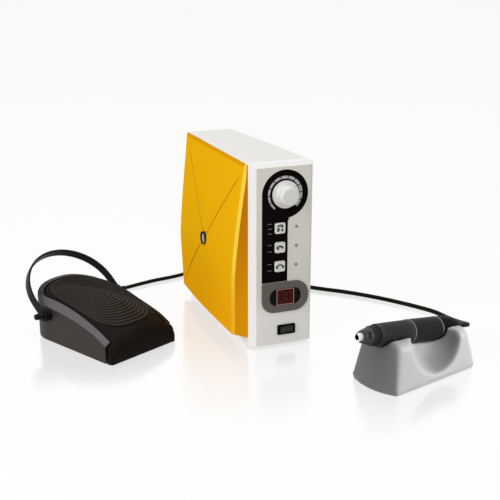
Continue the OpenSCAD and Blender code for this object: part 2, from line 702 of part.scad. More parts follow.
module speed_knob() color([0.93, 0.92, 0.9]) on_front(panel_x, knob_z) difference() {
    rotate_extrude() polygon(knob_profile());
    translate([0, 0, -past]) cylinder(r = bush_r + free, h = past + 3 + free);
    cylinder(r = shaft_r + seat, h = knob_h - 3.5);
    translate([0, knob_cap_d / 2 - 5, knob_h - 0.4]) rotate([-12, 0, 0]) translate([-0.6, -3, 0])
        cube([1.2, 8, 2]);
}

// Power switch: a housing clipped in the bezel and a rocker on two trunnions
module rocker_housing() color([0.08, 0.08, 0.08]) on_front(switch_x, switch_z) difference() {
    union() {
        linear_extrude(switch_flange) polygon(rounded(switch_w, switch_h, 1.2));
        translate([-switch_w / 2 + switch_margin, -switch_h / 2 + switch_margin, -switch_l])
            cube([switch_w - 2 * switch_margin, switch_h - 2 * switch_margin, switch_l]);
    }
    translate([-rocker_w / 2 - free, -rocker_h / 2 - free, -8]) cube([rocker_w + 2 * free,
        rocker_h + 2 * free, 8 + switch_flange + past]);
    translate([0, switch_h / 2, -rocker_sink]) rotate([90, 0, 0]) cylinder(r = rocker_pin_r + run,
        h = switch_h);
}
module power_rocker() color([0.1, 0.18, 0.15]) on_front(switch_x, switch_z) translate([0, 0, -rocker_sink])
    rotate([0, rocker_tilt, 0]) {
        rotate([90, 0, 0]) translate([0, 0, -rocker_h / 2]) linear_extrude(rocker_h) polygon([
            [-rocker_w / 2 + 0.5, -1], [-2, -3.4], [2, -3.4], [rocker_w / 2 - 0.5, -1],
            [rocker_w / 2 - 0.5, rocker_sink + 2.2], [0, rocker_sink + 1.1], [-rocker_w / 2 + 0.5,
                rocker_sink + 2.2]]);
        rotate([90, 0, 0]) cylinder(r = rocker_pin_r, h = rocker_h + 1.6, center = true);
    }

// Side cover: a moulded bulge with diagonal creases that meet at its screw
function cover_u(i) = i == 0 ? 0 : i == cover_n ? 1 : lerp(0.018, 0.982, (i - 1) / (cover_n - 2));
function cover_grow(down) = 1 - pow(1 - min(down / cover_rise, 1), 1.3);
function cover_fall(down) = cover_rear_fall + cover_low_fall * max(0,
    (down - cover_rise) / (1 - cover_rise));
function cover_bulge_at(along, down) = cover_top_bulge
    + (cover_bulge - cover_top_bulge) * cover_grow(down) * (1 - cover_fall(down) * pow(along, 2.5));
// The rows crowd towards the foot, so that the diagonals cross at the screw
function cover_down(j) = let (u = cover_u(j))
    u < 0.5 ? u * 2 * cover_cross : 1 - (1 - u) * 2 * (1 - cover_cross);
function cover_crease_at(i, j) = i == j || i == cover_n - j ? cover_crease : 0;
function cover_rim(i, j, t) = i == 0 || j == 0 || i == cover_n || j == cover_n ? min(cover_edge, t / 2) : 0;
function cover_outer(i, j) = let (along = cover_u(i), down = cover_down(j), t = cover_bulge_at(along, down))
    [cover_back - t + cover_rim(i, j, t) + (cover_rim(i, j, t) > 0 ? 0 : cover_crease_at(i, j)),
     lerp(cover_y0, cover_y1, along), lerp(cover_z1, cover_z0, down) + cover_tuck_at(j, along)];
// Only the lowest two rows tuck up
function cover_tuck_at(j, along) = j < cover_n - 1 ? 0 : cover_tuck * (1 - along) * (j == cover_n ? 1 : 0.7);
function cover_inner(i, j) = let (
    y = lerp(cover_y0 + cover_wall, cover_y1 - cover_wall, i / cover_n),
    z = lerp(cover_z1 - cover_solid_top, cover_z0 + cover_wall, j / cover_n),
    t = cover_bulge_at((y - cover_y0) / (cover_y1 - cover_y0), (cover_z1 - z) / (cover_z1 - cover_z0)))
    [cover_back - t + cover_wall + cover_crease, y, z];
function to_back(p) = [cover_back, p[1], p[2]];
function cover_foot(i, j) = to_back(cover_outer(i, j)) - [0, 0, cover_tuck_at(j, cover_u(i))];
// The grid's border as one loop of pairs
function border(k) = let (n = cover_n) k < n ? [k, 0] : k < 2 * n ? [n,
    k - n] : k < 3 * n ? [3 * n - k, n] : [0, 4 * n - k];
module cover_shell() {
    n = cover_n;
    m = n + 1;
    grid = m * m;
    loop = 4 * n;
    points = concat(
        [for (j = [0:n]) for (i = [0:n]) cover_outer(i, j)], [for (j = [0:n]) for (i = [0:n])
            cover_inner(i, j)],
        [for (k = [0:loop - 1]) let (b = border(k)) cover_foot(b[0], b[1])],
        [for (k = [0:loop - 1]) let (b = border(k)) to_back(cover_inner(b[0], b[1]))]);
    function at(k) = let (b = border(k % loop)) b[1] * m + b[0];
    skin = [for (j = [0:n - 1]) for (i = [0:n - 1]) let (a = j * m + i) each
        ((i < n / 2) == (j < n / 2) ? [[a, a + 1, a + m + 1], [a, a + m + 1, a + m]]
            : [[a, a + 1, a + m], [a + 1, a + m + 1, a + m]])];
    inside = [for (f = skin) [f[2] + grid, f[1] + grid, f[0] + grid]];
    outer_wall = [for (k = [0:loop - 1]) let (b = 2 * grid + k, c = 2 * grid + (k + 1) % loop) each
        [[at(k), b, c], [at(k), c, at(k + 1)]]];
    inner_wall = [for (k = [0:loop - 1]) let (b = 2 * grid + loop + k,
        c = 2 * grid + loop + (k + 1) % loop) each
        [[at(k) + grid, c, b], [at(k) + grid, at(k + 1) + grid, c]]];
    rim = [for (k = [0:loop - 1]) let (k2 = (k + 1) % loop) each
        [[2 * grid + k, 2 * grid + loop + k, 2 * grid + loop + k2], [2 * grid + k,
            2 * grid + loop + k2, 2 * grid + k2]]];
    polyhedron(points, [for (f = concat(skin, inside, outer_wall, inner_wall, rim)) [f[2], f[1], f[0]]]);
}
hub_bulge = cover_bulge_at(0.5, cover_cross);
module side_cover() color([0.93, 0.7, 0.08]) difference() {
    union() {
        cover_shell();
        on_left(hub_y, hub_z) translate([0, 0, 0.05]) cylinder(r = hub_d / 2 + 2,
            h = hub_bulge - cover_wall / 2);
    }
    on_left(hub_y, hub_z) {
        translate([0, 0, -past]) cylinder(d = hub_shank_d + 2 * seat, h = hub_bulge + 3 * past);
        translate([0, 0, hub_bulge - hub_sink]) cylinder(d = hub_d + 2 * free, h = cover_bulge);
    }
}
module cover_screw() color([0.8, 0.8, 0.82]) on_left(hub_y, hub_z) {
    translate([0, 0, hub_bulge - hub_sink]) rotate_extrude() polygon(concat(
        [[0, 0], [hub_d / 2, 0], [hub_d / 2, 1]], [for (i = [1:6]) hub_d / 2 * [cos(15 * i), 0] + [0,
            1 + (hub_dome - 1) * sin(15 * i)]]));
    translate([0, 0, -shell_wall - hub_screw_in]) cylinder(d = hub_shank_d,
        h = shell_wall + hub_screw_in + hub_bulge - hub_sink);
}

// Rear panel, mains inlet and the two sockets
vent_count = 7;
vent_pitch = 6;
vent_z = unit_h - 62;
panel_left = left_x + shell_wall + seat;
panel_right = right_x(rear_face_y) - shell_wall - seat;
panel_mid = (panel_left + panel_right) / 2;
inlet_body_w = 27;
inlet_body_h = 20;
module rear_panel() color([0.85, 0.85, 0.84]) difference() {
    translate([panel_left, rear_face_y - rear_t, floor_z + seat])
        cube([panel_right - panel_left, rear_t, unit_h - shell_wall - floor_z - 2 * seat]);
    on_rear(panel_mid, inlet_z) cube([inlet_body_w + 2 * seat, inlet_body_h + 2 * seat, 4 * rear_t],
        center = true);
    for (x = [pedal_socket_x, hand_socket_x]) on_rear(x, socket_z, rear_t + past)
        cylinder(d = socket_d + 2 * seat, h = rear_t + 2 * past);
    for (i = [0:vent_count - 1]) on_rear(panel_mid, vent_z + vent_pitch * i, rear_t + past)
        linear_extrude(rear_t + 2 * past) polygon(rounded(panel_right - panel_left - 18, 2.4, 1.1, 4));
}
module mains_inlet() color([0.06, 0.06, 0.06]) on_rear(panel_mid, inlet_z) {
    difference() {
        union() {
            linear_extrude(2) polygon(rounded(inlet_w, 22.5, 2));
            translate([-inlet_body_w / 2, -inlet_body_h / 2, -20]) cube([inlet_body_w, inlet_body_h, 20]);
        }
        translate([0, 0, -17]) linear_extrude(17 + 2 + past) polygon(rounded(24, 16.5, 2));
    }
    for (x = [-7, 0, 7]) translate([x - 1, x == 0 ? -4 : 0, -17.5]) cube([2, 4, 12]);
}
module socket_at(x) color([0.7, 0.7, 0.72]) on_rear(x, socket_z) difference() {
    union() {
        cylinder(d = socket_flange_d, h = 1.5);
        translate([0, 0, -14]) cylinder(d = socket_d, h = 14);
    }
    translate([0, 0, -10]) cylinder(d = socket_d - 3, h = 10 + 1.5 + past);
}
module handpiece_socket() socket_at(hand_socket_x);
module pedal_socket() socket_at(pedal_socket_x);

// Inside: chassis tray, transformer and main circuit board
chassis_t = 1.5;
chassis_gap = 2;
chassis_front = 10;
chassis_short = 50;
chassis_w = unit_rear_w - 2 * shell_wall - 2 * chassis_gap;
chassis_x = left_x + shell_wall + chassis_gap;
chassis_l = unit_d - bezel_d - chassis_short;
core_rear = 34;
core_y = rear_y - core_l - core_rear;
core_x = chassis_x + (chassis_w - core_w) / 2;
core_z = floor_z + chassis_t;
leg = 9;
chassis_lip = chassis_t + leg - 2 * free;
winding_out = 4;
module chassis() color([0.7, 0.71, 0.73]) translate([chassis_x, shell_y + chassis_front, floor_z]) {
    cube([chassis_w, chassis_l, chassis_t]);
    cube([chassis_t, chassis_l, chassis_lip]);
}
module transformer() color([0.45, 0.44, 0.42]) translate([core_x, core_y, core_z]) difference() {
    cube([core_w, core_l, core_h]);
    for (y = [leg, core_l / 2 + leg]) translate([-past, y, leg]) cube([core_w + 2 * past,
        core_l / 2 - 2 * leg, core_h - 2 * leg]);
}
module transformer_winding() color([0.75, 0.45, 0.2]) translate([core_x, core_y, core_z]) difference() {
    translate([-winding_out, leg + free, leg + free]) cube([core_w + 2 * winding_out,
        core_l - 2 * leg - 2 * free,
        core_h - 2 * leg - 2 * free]);
    translate([-free, core_l / 2 - leg - free, -past]) cube([core_w + 2 * free, 2 * leg + 2 * free,
        core_h + 2 * past]);
}
board_gap = 8;
board_side = 4;
board_foot_r = 2.5;
board_foot_in = 5;
cap_r = 8;
cap_h = 28;
cap_pitch = 20;
cap_first = 18;
fin_w = 12;
fin_t = 2;
fin_h = 24;
fin_pitch = 7;
fin_first = 14;
fin_last = 4;
sink_t = 4;
main_board_y = shell_y + chassis_front + 6;
main_board_l = core_y - main_board_y - board_gap;
main_board_w = chassis_w - 1.5 * board_side;
main_board_z = core_z + board_gap;
module main_board() color([0.12, 0.4, 0.2])
    translate([chassis_x + board_side, main_board_y, main_board_z]) {
    cube([main_board_w, main_board_l, board_t]);
    for (sx = [0, 1]) for (sy = [0, 1]) translate([board_foot_in + sx * (main_board_w - 2 * board_foot_in),
        board_foot_in + sy * (main_board_l - 2 * board_foot_in), -board_gap])
        cylinder(r = board_foot_r, h = board_gap + past);
    for (k = [0, 1]) translate([main_board_w * 0.28, cap_first + cap_pitch * k, 0])
        cylinder(r = cap_r, h = cap_h);
    for (k = [0:fin_last]) translate([main_board_w * 0.62, fin_first + fin_pitch * k, 0])
        cube([fin_w, fin_t, fin_h]);
    translate([main_board_w * 0.62, fin_first - fin_t, 0])
        cube([fin_w, fin_last * fin_pitch + 3 * fin_t, sink_t]);
}

// Handpiece, from its collet to its cord boot
module collet() color([0.82, 0.82, 0.84]) in_hand() difference() {
    rotate_extrude() polygon([[0, 0], [tip_r - mouth, 0], [tip_r, mouth], [tip_r, tip_l - 2],
        [tip_r - 0.7, tip_l - 1.6], [tip_r - 0.7, tip_l - free], [spindle_r + 0.4, tip_l - free],
        [spindle_r + 0.4, tip_l + shank_l], [0, tip_l + shank_l]]);
    translate([0, 0, -past]) cylinder(r = bur_r, h = past + bur_depth);
    rotate_extrude() polygon([[0, -past], [bur_r + 1.2, -past], [bur_r + 0.6, 0], [0, mouth]]);
}
module spindle() color([0.7, 0.7, 0.72]) in_hand() difference() {
    rotate_extrude() polygon([[0, cone_a], [spindle_head_r, cone_a], [spindle_head_r, grip_a - 2],
        [spindle_r, grip_a],
        [spindle_r, trim2_a - 4], [0, trim2_a - 4]]);
    translate([0, 0, cone_a - past]) cylinder(r = spindle_r + 0.4 + seat, h = past + shank_l + free);
}
bearing_spots = [grip_a + spigot_in + 3, trim_a - bearing_w - 3];
module spindle_bearings() color([0.62, 0.63, 0.66])
    for (a = bearing_spots) in_hand(a) ring(bearing_r, spindle_r + run, bearing_w);
module nose_cone() color([0.2, 0.2, 0.21]) in_hand() difference() {
    rotate_extrude() polygon([[0, cone_a], [cone_r0, cone_a], [cone_r1, chuck_a], [spigot_r, chuck_a],
        [spigot_r, grip_a + spigot_in], [0, grip_a + spigot_in]]);
    translate([0, 0, cone_a - past]) cylinder(r = spindle_head_r + run,
        h = grip_a + spigot_in - cone_a + 2 * past);
    translate([0, 0, cone_a + cone_l / 2]) rotate([0, 0, 245]) translate([cone_r0 - 0.2, -3.5, -1])
        cube([6, 7, 2]);
}
chuck_notches = 18;
module chuck_ring() color([0.17, 0.17, 0.18]) in_hand(chuck_a + free) difference() {
    rotate_extrude() polygon([[spigot_r + run, 0], [cone_r1, 0], [chuck_r, 1.5], [chuck_r,
        chuck_l - 2 * free - 0.5],
        [chuck_r - 0.5, chuck_l - 2 * free], [spigot_r + run, chuck_l - 2 * free]]);
    for (k = [0:chuck_notches - 1]) rotate([0, 0, 360 * k / chuck_notches]) translate([chuck_r + 0.5,
        0, 2.4])
        cylinder(r = 0.9, h = chuck_l, $fn = 16);
}
grip_grooves = 14;
groove_step = 2.8;
groove_w = 1.2;
groove_a = 5;
module front_grip() color([0.15, 0.15, 0.16]) in_hand() difference() {
    rotate_extrude() polygon([[0, grip_a], [grip_r0 - 0.6, grip_a], [grip_r0, grip_a + 1], [grip_r1,
        trim_a], [0, trim_a]]);
    translate([0, 0, grip_a - past]) cylinder(r = spigot_r + seat, h = past + spigot_in + 2);
    translate([0, 0, grip_a + spigot_in + 1.5]) cylinder(r = bearing_r + seat, h = grip_l);
    for (k = [0:grip_grooves - 1]) let (a = groove_a + groove_step * k) translate([0, 0, grip_a + a])
        ring(grip_r1 + 1, lerp(grip_r0, grip_r1, a / grip_l) - free, groove_w);
}
module trim_rings() color([0.78, 0.78, 0.8]) {
    in_hand(trim_a) ring(grip_r1 + 0.4, bearing_r + seat, trim_w);
    in_hand(trim2_a) ring(sleeve_r + 0.15, bearing_r + seat, trim_w);
}
module motor_sleeve() color([0.14, 0.14, 0.15]) in_hand(sleeve_a) ring(sleeve_r, sleeve_bore, sleeve_l);
magnet_l = sleeve_l - 12;
module motor_magnet() color([0.3, 0.3, 0.32]) in_hand(sleeve_a + 1) ring(sleeve_bore - seat,
    bearing_r + 0.4, magnet_l);
module motor_rotor() color([0.7, 0.42, 0.2]) in_hand(sleeve_a + 2) {
    ring(bearing_r, spindle_r + seat, magnet_l - 2);
    translate([0, 0, magnet_l - 2]) ring(comm_r, spindle_r + seat, comm_l);
}
module brushes() color([0.2, 0.2, 0.2]) in_hand(sleeve_a + magnet_l + 2) for (k = [0, 180]) rotate([0,
    0, k])
    intersection() {
        translate([comm_r + run, -2, 0]) cube([sleeve_bore, 4, comm_l - 1]);
        cylinder(r = sleeve_bore - seat, h = comm_l);
    }
function tail_curve(grow) = [for (i = [0:6]) [lerp(sleeve_r, tail_r1, pow(i / 6, 2.3)) + grow,
    lerp(tail_a + 4, end_a, i / 6)]];
module tail_cap() color([0.13, 0.13, 0.14]) in_hand() difference() {
    rotate_extrude() polygon(concat([[0, trim2_a - 3], [bearing_r, trim2_a - 3], [bearing_r, tail_a],
        [sleeve_r, tail_a]], tail_curve(0), [[0, end_a]]));
    translate([0, 0, trim2_a - 3 - past]) cylinder(r = spindle_r + 1, h = 3 + trim_w + past);
}
module handpiece_boot() color([0.08, 0.08, 0.08]) in_hand(end_a)
    cylinder(r1 = hand_cord_d / 2 + 1.5, r2 = hand_cord_d / 2 + 0.6, h = boot_l);

// Cradle: a drafted block with two saddles, hollowed from both sides
function cradle_foot(n = 10) = let (h = cradle_w / 2, l = cradle_l / 2,
    r = (h * h + cradle_bulge * cradle_bulge) / (2 * cradle_bulge),
    a = asin(h / r)) concat(arc([l + cradle_bulge - r, 0], r, -a, a, n), arc([-l - cradle_bulge + r,
        0], r, 180 - a, 180 + a, n));
module horn(end, side, h, r) translate([end * (cradle_l / 2 - cradle_end_draft - horn_r / 2),
    side * (cradle_w / 2 - cradle_side_draft - r), h - r]) sphere(r = r, $fn = 24);
module cradle_block() hull() {
    linear_extrude(3) polygon(cradle_foot());
    for (side = [-1, 1]) {
        horn(-1, side, cradle_h, horn_r);
        horn(1, side, cradle_rear_h, rear_horn_r);
    }
}
module handpiece_room() {
    room = free;
    tail_room = 40;
    lift_up = 60;
    lift_run = 120;
    in_hand() {
        rotate_extrude() polygon(concat([[0, grip_a - 3], [grip_r0 + room, grip_a - 3],
            [grip_r0 + room, grip_a], [grip_r1 + room, trim_a - room], [sleeve_r + room, trim_a]],
            tail_curve(room), [[tail_r1 + room, end_a + tail_room], [0, end_a + tail_room]]));
        rotate([0, 0, 180]) translate([0, -sleeve_r - room, trim_a]) cube([lift_up,
            2 * sleeve_r + 2 * room, lift_run]);
        rotate([0, 0, 180]) translate([0, -grip_r1 - room, 0]) cube([lift_up,
            2 * grip_r1 + 2 * room, trim_a + past]);
    }
}
module cradle() color([0.62, 0.62, 0.63]) difference() {
    in_cradle() difference() {
        cradle_block();
        for (side = [-1, 1]) translate([scoop_x, side * (cradle_w / 2 + scoop_out), scoop_z])
            sphere(r = scoop_r, $fn = 64);
    }
    handpiece_room();
}

// Foot pedal forms: s runs to the toe, v across, and the slope is a barrel about an axis below the table
pedal_half = pedal_w / 2;
band_half = pedal_half - band_in;
crown_steps = 6;
function crown_at(v) = band_h + tread_crown * (1 - pow(v / band_half, 2));
function tread_top(s, v) = let (r = slope_r + crown_at(v))
    pedal_wall_h - slope_r + (s > 0 ? sqrt(r * r - s * s) : r);
function pedal_section(base, edge) = concat([[base, -pedal_half], [edge, -pedal_half]],
    [for (k = [-crown_steps:crown_steps]) let (v = band_half * k / crown_steps) [crown_at(v), v]],
    [[edge, pedal_half], [base, pedal_half]]);
function pedal_plan(off, front, corner, back = 0) = let (h = pedal_half - off) concat(
    arc([front - corner, -h + corner], corner, 270, 360, 4), arc([front - corner, h - corner], corner,
        0, 90, 4),
    arc([pedal_corner - pedal_rear + back, pedal_half - pedal_corner], pedal_corner - off, 90, 180, 8),
    arc([pedal_corner - pedal_rear + back, pedal_corner - pedal_half], pedal_corner - off, 180, 270, 8));
module pedal_form(edge = 0) {
    intersection() {
        translate([0, 0, pedal_wall_h - slope_r]) rotate([-90, 0, 0]) rotate_extrude($fn = 96)
            polygon([for (p = pedal_section(-slope_r, edge)) [p[0] + slope_r, p[1]]]);
        translate([0, -pedal_w, 0]) cube([2 * pedal_front, 2 * pedal_w, slope_r]);
    }
    translate([-2 * pedal_rear, 0, pedal_wall_h]) rotate([90, 0, 90]) linear_extrude(2 * pedal_rear)
        polygon([for (p = pedal_section(-pedal_wall_h, edge)) [p[1], p[0]]]);
}
// Toe: a skin through side views, each rounded down from the tread's height at its place across
toe_spots = concat([-pedal_w], [for (k = [-crown_steps:crown_steps]) band_half * k / crown_steps], [pedal_w]);
function toe_view(off, v) = let (r = slope_r + crown_at(min(abs(v), band_half)) - toe_r,
    up = sqrt(r * r - toe_c * toe_c), z = pedal_wall_h - slope_r + up - toe_cut, end = atan2(up, toe_c))
    concat([[-2 * pedal_rear, -past], [pedal_front - 1.5 - off, -past], [pedal_front - off, 6]],
    arc([toe_c, z], toe_r - off, 0, end, 8),
    [[toe_c + 60 * cos(end), z + 60 * sin(end)], [-2 * pedal_rear, 2 * pedal_w]]);
module toe_side(off) {
    views = [for (v = toe_spots) [for (p = toe_view(off, v)) [p[0], v, p[1]]]];
    n = len(views[0]);
    last = (len(views) - 1) * n;
    polyhedron([for (w = views) each w], concat([[for (i = [n - 1:-1:0]) i], [for (i = [0:n - 1]) last + i]],
        [for (j = [0:n:last - n]) for (i = [0:n - 1]) let (k = (i + 1) % n)
            each [[j + i, j + k, j + n + i], [j + k, j + n + k, j + n + i]]]));
}
module tread_body(off) intersection() {
    translate([0, 0, -off]) pedal_form(band_h);
    toe_side(off);
    union() {
        linear_extrude(pedal_w) polygon(pedal_plan(tread_off + off, wall_front + toe_gap + 2, 0.5, rear_room));
        intersection() {
            linear_extrude(pedal_w) polygon(pedal_plan(off, pedal_front - off, toe_corner));
            translate([wall_front + toe_gap + off, -pedal_w, 0]) cube(2 * pedal_w);
        }
    }
}
lug_l = 12;
lug_top = 4;
base_lug_v = pedal_half - tread_off - tread_wall - lug_room - lug_w / 2;
tread_lug_v = base_lug_v - lug_w - lug_gap;
spring_room = 2;
rear_room = 2;
lip_t = 3.5;
module under_slope(low) translate([0, 0, -low]) {
    intersection() {
        translate([0, pedal_w, pedal_wall_h - slope_r]) rotate([90, 0, 0]) cylinder(r = slope_r,
            h = 2 * pedal_w, $fn = 96);
        translate([0, -pedal_w, 0]) cube([hinge_s - 8, 2 * pedal_w, pedal_wall_h]);
    }
    translate([-2 * pedal_rear, -pedal_w, 0]) cube([2 * pedal_rear, 2 * pedal_w, pedal_wall_h]);
}
module hinge_bore(lug_v, gap) translate([hinge_s, lug_v + lug_w, hinge_z]) rotate([90, 0, 0])
    cylinder(r = hinge_r + gap, h = 2 * (lug_v + lug_w));
module pedal_base() color([0.24, 0.22, 0.21]) in_pedal() difference() {
    union() {
        intersection() {
            pedal_form();
            difference() {
                linear_extrude(pedal_w) polygon(pedal_plan(0, wall_front, 0.5));
                translate([0, 0, pedal_floor]) linear_extrude(pedal_w) polygon(pedal_plan(pedal_wall,
                    wall_front + past, 0.5));
            }
        }
        intersection() {
            difference() {
                pedal_form();
                translate([0, 0, -lip_t]) pedal_form();
            }
            linear_extrude(pedal_w) difference() {
                polygon(pedal_plan(0, wall_front, 0.5));
                polygon(pedal_plan(band_in, wall_front + past, 0.5));
            }
        }
        for (side = [-1, 1]) {
            translate([hinge_s - lug_l / 2, side * base_lug_v - lug_w / 2, pedal_floor / 2])
                cube([lug_l, lug_w, hinge_z + lug_top - pedal_floor / 2]);
            translate([pivot_s, side * (pedal_half - pedal_wall / 2), pivot_z]) rotate([-90 * side, 0, 0])
                cylinder(r = boss_r, h = leg_in - free - pedal_half + pedal_wall / 2);
        }
        translate([spring_s, 0, pedal_floor / 2]) cylinder(r = spring_r + spring_room,
            h = spring_seat - pedal_floor / 2);
        translate([micro_s - micro_l / 2, -micro_w / 2, pedal_floor / 2])
            cube([micro_l, micro_w, micro_z - pedal_floor / 2]);
    }
    for (side = [-1, 1]) translate([pivot_s, side * (pedal_half - 6), pivot_z]) rotate([-90 * side, 0, 0])
        cylinder(r = pivot_r + seat, h = 2 * arch_r);
    hinge_bore(base_lug_v, seat);
    translate([-pedal_rear - past, 0, boot_z]) rotate([0, 90, 0])
        cylinder(r = pedal_cord_d / 2 + 1.2 + seat, h = pedal_wall + 2 * past);
}
module pedal_tread() color([0.09, 0.08, 0.07]) in_pedal() difference() {
    union() {
        difference() {
            tread_body(0);
            difference() {
                tread_body(tread_wall);
                translate([wall_front + toe_gap + 2, -pedal_w, 0]) cube([pedal_w, 2 * pedal_w,
                    pedal_floor]);
            }
            under_slope(tread_skirt);
            translate([-2 * pedal_rear, -pedal_w, -past])
                cube([2 * pedal_rear + wall_front + toe_gap, 2 * pedal_w, pedal_floor + floor_gap + past]);
        }
        for (side = [-1, 1]) intersection() {
            translate([hinge_s - 5, side * tread_lug_v - lug_w / 2, hinge_z - 4]) cube([10, lug_w,
                lug_reach]);
            translate([0, 0, -tread_wall / 2]) pedal_form();
        }
    }
    hinge_bore(tread_lug_v, run);
}
module tread_pin() color([0.7, 0.7, 0.72]) in_pedal() translate([hinge_s, base_lug_v + lug_w / 2, hinge_z])
    rotate([90, 0, 0]) cylinder(r = hinge_r, h = 2 * base_lug_v + lug_w);

// Ribbed mat: rings of a polar grid that follow the tread, raised along each oval rib
mat_sides = 40;
mat_lift = 0.2;
mat_t = 0.6;
mat_near = 24;
mat_far = 41;
mat_under = 9;
mat_square = 0.72;
mat_w = pedal_half - tread_off - mat_edge;
function blunt(c) = sign(c) * pow(abs(c), mat_square);
function mat_spot(q, k) = let (a = 360 * k / mat_sides)
    [lerp(mat_near, mat_far, q) + mat_l * q * blunt(cos(a)), mat_w * q * blunt(sin(a))];
function mat_point(q, k, up) = let (p = mat_spot(q, k)) [p[0], p[1], tread_top(p[0], p[1]) + up];
mat_rings = concat([for (i = [0:rib_count - 1]) each [[(i + 0.25) / rib_count, mat_t],
    [(i + 0.45) / rib_count, mat_t + rib_h],
    [(i + 0.8) / rib_count, mat_t + rib_h]]], [[1, mat_t]]);
function mat_cell(start, i, k) = let (
    p = start + i * mat_sides + k, q = start + i * mat_sides + (k + 1) % mat_sides)
    [[p, p + mat_sides, q + mat_sides], [p, q + mat_sides, q]];
module tread_mat() color([0.06, 0.055, 0.05]) in_pedal() {
    n = mat_sides;
    top = len(mat_rings);
    under = mat_under;
    points = concat([for (r = mat_rings) for (k = [0:n - 1]) mat_point(r[0], k, mat_lift + r[1])],
        [for (i = [1:under]) for (k = [0:n - 1]) mat_point(i / under, k, mat_lift)],
        [mat_point(0, 0, mat_lift + mat_t), mat_point(0, 0, mat_lift)]);
    hub = (top + under) * n;
    base = top * n;
    upper = [for (i = [0:top - 2]) for (k = [0:n - 1]) each mat_cell(0, i, k)];
    lower = [for (i = [0:under - 2]) for (k = [0:n - 1]) each mat_cell(base, i, k)];
    faces = concat([for (k = [0:n - 1]) [hub, k, (k + 1) % n]], upper,
        [for (k = [0:n - 1]) [hub + 1, base + (k + 1) % n, base + k]], [for (f = lower) [f[2], f[1], f[0]]],
        [for (k = [0:n - 1]) let (a = (top - 1) * n + k, b = (top - 1) * n + (k + 1) % n,
            c = base + (under - 1) * n + k, d = base + (under - 1) * n + (k + 1) % n) each [[a, c, d],
                [a, d, b]]]);
    polyhedron(points, [for (f = faces) [f[2], f[1], f[0]]]);
}

// Return spring, switch, carrying handle and cord boot of the pedal
spring_top = tread_top(spring_s + spring_r + spring_wire, 0) - tread_wall - free;
spring_rings = 10;
module tread_spring() color([0.7, 0.7, 0.72]) in_pedal() {
    count = spring_turns * spring_rings;
    low = spring_seat + spring_wire / 2 + 0.1;
    high = spring_top - spring_wire / 2;
    tube([for (i = [0:count]) [spring_s + spring_r * cos(360 * i / spring_rings),
        spring_r * sin(360 * i / spring_rings),
        lerp(low, high, i / count)]], spring_wire / 2, 6);
}
module pedal_switch() color([0.12, 0.12, 0.12]) in_pedal() translate([micro_s, 0, micro_z]) {
    translate([-10, -3.2, 0]) cube([20, 6.4, 10]);
    translate([-6, 0, 9]) cylinder(r = 1.5, h = 3);
}
// The handle's arch, drawn flat with its pivots on the first axis
module arch_outline(r) {
    intersection() {
        translate([0, leg_l]) circle(r = r, $fn = 96);
        translate([-r, leg_l]) square([2 * r, r]);
    }
    translate([-r, 0]) square([2 * r, leg_l]);
}
module carry_handle() color([0.13, 0.12, 0.12]) in_pedal() translate([pivot_s, 0, pivot_z])
    rotate([0, -handle_lean, 0]) rotate([90, 0, 90]) difference() {
        union() {
            translate([0, 0, -strap_w / 2]) linear_extrude(strap_w) difference() {
                arch_outline(arch_r + strap_t / 2);
                arch_outline(leg_in);
                translate([-leg_in, -past]) square([2 * leg_in, 2 * past]);
            }
            for (side = [-1, 1]) translate([side * (leg_in + strap_t / 2), 0, 0]) rotate([0, 90, 0])
                cylinder(r = eye_r, h = strap_t, center = true);
        }
        for (side = [-1, 1]) translate([side * arch_r, 0, 0]) rotate([0, 90, 0])
            cylinder(r = pivot_r + run, h = 2 * strap_t, center = true);
    }
module handle_screws() color([0.08, 0.08, 0.08]) in_pedal() for (side = [-1, 1])
    translate([pivot_s, side * (pedal_half - pedal_wall), pivot_z]) rotate([-90 * side, 0, 0]) {
        head = arch_r + strap_t / 2 + free - pedal_half + pedal_wall;
        cylinder(r = pivot_r, h = head + past);
        translate([0, 0, head]) rotate_extrude() polygon([[0, 0], [screw_head_r, 0],
            [screw_head_r, screw_head_t], [screw_neck_r, screw_head_t + 1], [screw_neck_r, knob_l - 1],
            [screw_neck_r - 0.8, knob_l], [0, knob_l]]);
    }
module pedal_boot() color([0.07, 0.07, 0.07]) in_pedal() translate([-pedal_rear, 0, boot_z]) rotate([0,
    -90, 0]) {
    translate([0, 0, -pedal_wall - 2]) cylinder(r = pedal_cord_d / 2 + 1.2, h = pedal_wall + 2.5);
    translate([0, 0, 0.3]) cylinder(r1 = pedal_cord_d / 2 + 2.5, r2 = pedal_cord_d / 2 + 0.6,
        h = boot_out - 0.3);
}

// Cords: free stretches, coils, leads, plugs and ties
module plug_at(x, cord_d) color([0.08, 0.08, 0.08]) translate([x, plug_face, socket_z]) rotate([-90, 0, 0])
    rotate_extrude() polygon([[0, -8], [socket_d / 2 - 1.5 - seat, -8], [socket_d / 2 - 1.5 - seat, 0],
        [socket_d / 2 + 1, 0],
        [socket_d / 2 + 1, 16], [socket_d / 2 - 0.5, 20], [cord_d / 2 + 2, 22], [cord_d / 2 + 0.6,
            plug_l], [0, plug_l]]);
module pedal_plug() plug_at(pedal_socket_x, pedal_cord_d);
module handpiece_plug() plug_at(hand_socket_x, hand_cord_d);
module cord_stretch(route, d, steps) color([0.07, 0.065, 0.06]) tube(smooth_route(route, steps), d / 2, 8);
module pedal_cord() cord_stretch(pedal_route, pedal_cord_d, 2);
module pedal_lead() cord_stretch(pedal_lead_route, pedal_cord_d, 1);
module handpiece_cord() cord_stretch(hand_route, hand_cord_d, 1);
module handpiece_lead() cord_stretch(hand_lead_route, hand_cord_d, 1);
module pedal_coil() color([0.07, 0.065, 0.06]) tube(pedal_coil_path, pedal_cord_d / 2, 6);
module handpiece_coil() color([0.07, 0.065, 0.06]) tube(hand_coil_path, hand_cord_d / 2, 6);
